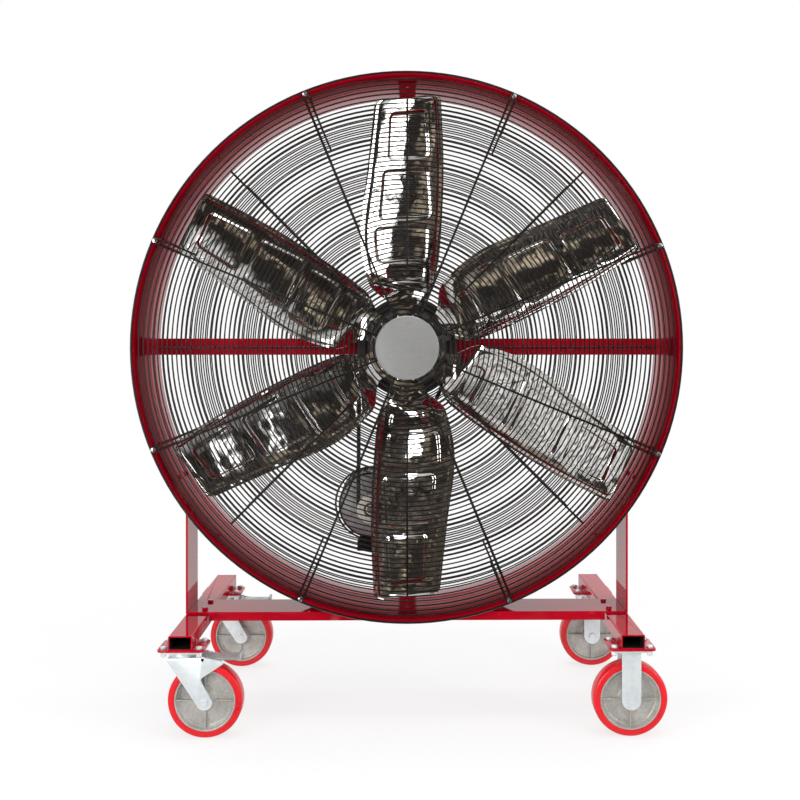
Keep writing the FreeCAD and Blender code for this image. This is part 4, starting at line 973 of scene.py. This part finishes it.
def buildEndBell():
    low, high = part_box("motor_end_bell")
    face = high[1] - motor["bellDeep"]
    profile = [(r, low[1] + y) for r, y in bellNose] + [(r, face + y) for r, y in bellFace]
    profile += [(bellFace[-1][0], high[1]), (bellNose[0][0], high[1])]
    pieces = [lathe("bell", profile, motorAxis, motor["steps"])]
    roundEdges(pieces[0], motor["bellEdge"], 2, 30)
    middle = motorAxis + Vector((0, face, 0))
    for index in range(motor["ribs"]):
        rib = block("bellRib", middle + Vector(motor["ribLow"]), middle + Vector(motor["ribHigh"]))
        roundEdges(rib, motor["ribEdge"], 3)
        rib.data.transform(spinAbout("Y", 2 * math.pi * (index + 0.5) / motor["ribs"], motorAxis))
        pieces.append(rib)
    for index in range(motor["bolts"]):
        knob = hexBolt(motor["boltSize"], motor["boltGrip"], False, None)
        angle = 2 * math.pi * (index + 0.5) / motor["bolts"]
        spot = middle + Vector((math.cos(angle), 0, math.sin(angle))) * motor["boltRing"]
        knob.data.transform(standAt(spot, backWay))
        pieces.append(knob)
    joinFinish(pieces, "motor_end_bell_cast", "motor_end_bell")


def buildFanCover():
    low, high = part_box("motor_fan_cover")
    near, far = low[1], high[1]
    profile = [(motor["pin"], near), (coverEdge[0][0], near)] + [(r, far - y) for r, y in coverEdge]
    radius = motor["slotFrom"]
    while radius > motor["slotTo"]:  # ring slots in the rear face
        profile += [(radius - r, far - y) for r, y in coverSlot]
        radius -= motor["slotPitch"]
    profile.append((motor["pin"], far))
    cover = lathe("motor_fan_cover_slotted", profile, motorAxis, motor["steps"])
    smoothBy(cover)
    finishPiece(cover, "motor_fan_cover")


buildMotorShell()
buildEndBell()
buildFanCover()
print("motor built")


# soft edges on the folded and cut metal that stays from the frame
softened = {
    "left_leg_tube": 0.0030, "right_leg_tube": 0.0030, "cross_channel": 0.0020, "left_upright": 0.0012,
    "right_upright": 0.0012, "horizontal_strut": 0.0030, "vertical_strut": 0.0030,
    "strut_straps": 0.0010, "drum_saddles": 0.0010, "front_brake_pedal": 0.0012, "rear_brake_pedal": 0.0012,
    "motor_mount": 0.0012, "motor_feet": 0.0012, "junction_box": 0.0012,
}
for name, width in softened.items():
    weld = nodes[name].modifiers.new("weldSeams", "WELD")
    weld.merge_threshold = 0.00001
    bevel = nodes[name].modifiers.new("softEdge", "BEVEL")
    bevel.width = width
    bevel.segments = 2
    bevel.limit_method = "ANGLE"
    bevel.angle_limit = math.radians(40)
print("soft edges:", len(softened))


# stage, light and camera
studio = {"floorSize": 30.0, "floorCells": 8, "floorTone": 0.86, "floorRough": 0.6,
          "sweep": (0.7, 1.9, 0.74, 1.0), "worldLight": 0.80, "frontShare": 0.45, "white": (1, 1, 1, 1),
          "paper": (0.9, 0.9, 0.9, 1), "dim": (0.030, 0.026, 0.023, 1), "glint": (0.80, 0.67, 0.50, 1),
          "lens": 49.87, "eye": (0.006, -3.349, 1.093), "turn": -0.64, "tilt": -0.29,
          "shift": (-0.0272, -0.0745)}
# painted reflections, what bright metal sees: the floor glows for glossy rays only as white paper, two painted
# bright strips and a dim room in front with painted glint patches; pairs run from, to
mirror = {"near": (-0.60, -0.25), "side": (-1.00, -0.70), "far": (-2.20, -1.75), "laneShift": 0.06,
          "laneHalf": 0.11, "stripHalf": (0.010, 0.020), "stripShift": 0.13, "stripWide": (0.16, 0.24),
          "stripFront": (-1.35, -1.05), "stripBack": (-0.55, -0.45), "stripLight": 4.5, "patchScale": 2.4,
          "patch": (0.54, 0.66), "room": (-0.30, 0.05), "clutterScale": 5.0, "clutter": (0.55, 0.66),
          "detail": 3.0}


def buildStage():
    cells, tone = studio["floorCells"], studio["floorTone"]
    bpy.ops.mesh.primitive_grid_add(size=studio["floorSize"], x_subdivisions=cells, y_subdivisions=cells)
    floor = bpy.context.active_object
    floor.name = "studio_floor"
    mat = bpy.data.materials.new("studioFloor")
    mat.use_nodes = True
    tree = mat.node_tree
    shader = tree.nodes["Principled BSDF"]
    shader.inputs["Base Color"].default_value = (tone, tone, tone, 1)
    shader.inputs["Roughness"].default_value = studio["floorRough"]
    place = placeIn(tree)
    split = addNode(tree, "SeparateXYZ", Vector=place)
    x, y = split.outputs["X"], split.outputs["Y"]
    rays = addNode(tree, "LightPath").outputs
    away = mathNode(tree, "LENGTH", place, kind="VectorMath")
    sweep = spread(tree, away, *studio["sweep"])  # paper turns to pure white further out
    glow = addNode(tree, "Emission", Color=studio["white"], Strength=1.0)
    paper = mixShader(tree, mathNode(tree, "MULTIPLY", sweep, rays["Is Camera Ray"]), shader.outputs["BSDF"],
                      glow.outputs["Emission"])
    # painted reflection: for glossy rays only, the floor glows, though it is no lamp, as white paper, bright
    # strips and a dim room with glint patches
    near = spread(tree, y, *mirror["near"], 0.0, 1.0)
    side = spread(tree, x, *mirror["side"], 1.0, 0.0)
    far = spread(tree, y, *mirror["far"], 1.0, 0.0)
    edge = mathNode(tree, "MAXIMUM", near, mathNode(tree, "MULTIPLY", side, far))
    lane = mathNode(tree, "PINGPONG", mathNode(tree, "ADD", x, mirror["laneShift"]), mirror["laneHalf"])
    middle = mathNode(tree, "ABSOLUTE", mathNode(tree, "ADD", x, mirror["stripShift"]))
    strip = spread(tree, lane, *mirror["stripHalf"], 1.0, 0.0)
    for limit in (spread(tree, middle, *mirror["stripWide"], 1.0, 0.0),
                  spread(tree, y, *mirror["stripFront"], 0.0, 1.0),
                  spread(tree, y, *mirror["stripBack"], 1.0, 0.0)):
        strip = mathNode(tree, "MULTIPLY", strip, limit)
    edge = mathNode(tree, "MAXIMUM", edge, strip)
    # painted highlight: the strips glow brighter for glossy rays
    paintedStripShine = spread(tree, strip, 0.0, 1.0, 1.0, mirror["stripLight"])
    # painted glints: patches of warm glint colour in the dim room the metal sees
    noise = noiseAt(tree, place, mirror["patchScale"], mirror["detail"])
    ground = mixColour(tree, spread(tree, noise, *mirror["patch"], 0.0, 1.0), studio["dim"], studio["glint"])
    mirrored = addNode(tree, "Emission", Color=mixColour(tree, edge, ground, studio["paper"]), Strength=paintedStripShine)
    both = mixShader(tree, rays["Is Glossy Ray"], paper, mirrored.outputs["Emission"])
    tree.links.new(both, tree.nodes["Material Output"].inputs["Surface"])
    floor.data.materials.append(mat)


def buildWorld():
    world = bpy.data.worlds.new("studioWorld")
    bpy.context.scene.world = world
    world.use_nodes = True
    tree = world.node_tree
    back = tree.nodes["Background"]
    place = placeIn(tree, "Generated")
    split = addNode(tree, "SeparateXYZ", Vector=place)
    rays = addNode(tree, "LightPath").outputs
    fill, front = studio["worldLight"], studio["worldLight"] * studio["frontShare"]
    paper = spread(tree, split.outputs["Y"], *mirror["room"], 0.0, 1.0)  # paper behind, dim room in front
    noise = noiseAt(tree, place, mirror["clutterScale"], mirror["detail"])
    dark = mixColour(tree, spread(tree, noise, *mirror["clutter"], 0.0, 1.0), studio["dim"], studio["glint"])
    room = mixColour(tree, paper, dark, studio["white"])
    soft = mixColour(tree, paper, (front, front, front, 1), (fill, fill, fill, 1))
    lit = mixColour(tree, rays["Is Glossy Ray"], soft, room)
    seen = mixColour(tree, rays["Is Camera Ray"], lit, studio["white"])
    tree.links.new(seen, back.inputs["Color"])
    back.inputs["Strength"].default_value = 1.0


def softbox(name, place, aim, size, power, mirrored=True):
    data = bpy.data.lights.new(name, "AREA")
    data.shape = "RECTANGLE"
    data.size, data.size_y = size
    data.energy = power
    lamp = bpy.data.objects.new(name, data)
    bpy.context.collection.objects.link(lamp)
    lamp.location = place
    lamp.rotation_euler = (Vector(aim) - Vector(place)).to_track_quat("-Z", "Y").to_euler()
    lamp.visible_glossy = mirrored


def buildCamera():
    data = bpy.data.cameras.new("photoCamera")
    data.lens = studio["lens"]
    data.shift_x, data.shift_y = studio["shift"]
    camera = bpy.data.objects.new("photoCamera", data)
    bpy.context.collection.objects.link(camera)
    camera.location = studio["eye"]
    camera.rotation_euler = (math.radians(90 + studio["tilt"]), 0, math.radians(studio["turn"]))
    bpy.context.scene.camera = camera


buildStage()
buildWorld()
softbox("keyLeft", (-2.3, -3.0, 1.3), (0, 0, 1.2), (1.4, 2.4), 62)
softbox("highRight", (1.55, -1.95, 2.5), (0.3, 0, 0.9), (2.2, 2.2), 16)
softbox("lowRight", (3.2, -2.3, 1.2), (0, 0, 0.9), (0.5, 1.8), 34)
softbox("frontFill", (0.35, -3.6, 1.75), (0, 0, 1.0), (0.5, 0.5), 26, False)
softbox("topLight", (0, -0.2, 4.4), (0, 0, 0.8), (3.0, 2.0), 98)
buildCamera()
bpy.context.scene.view_settings.view_transform = "Standard"
print("studio ready")
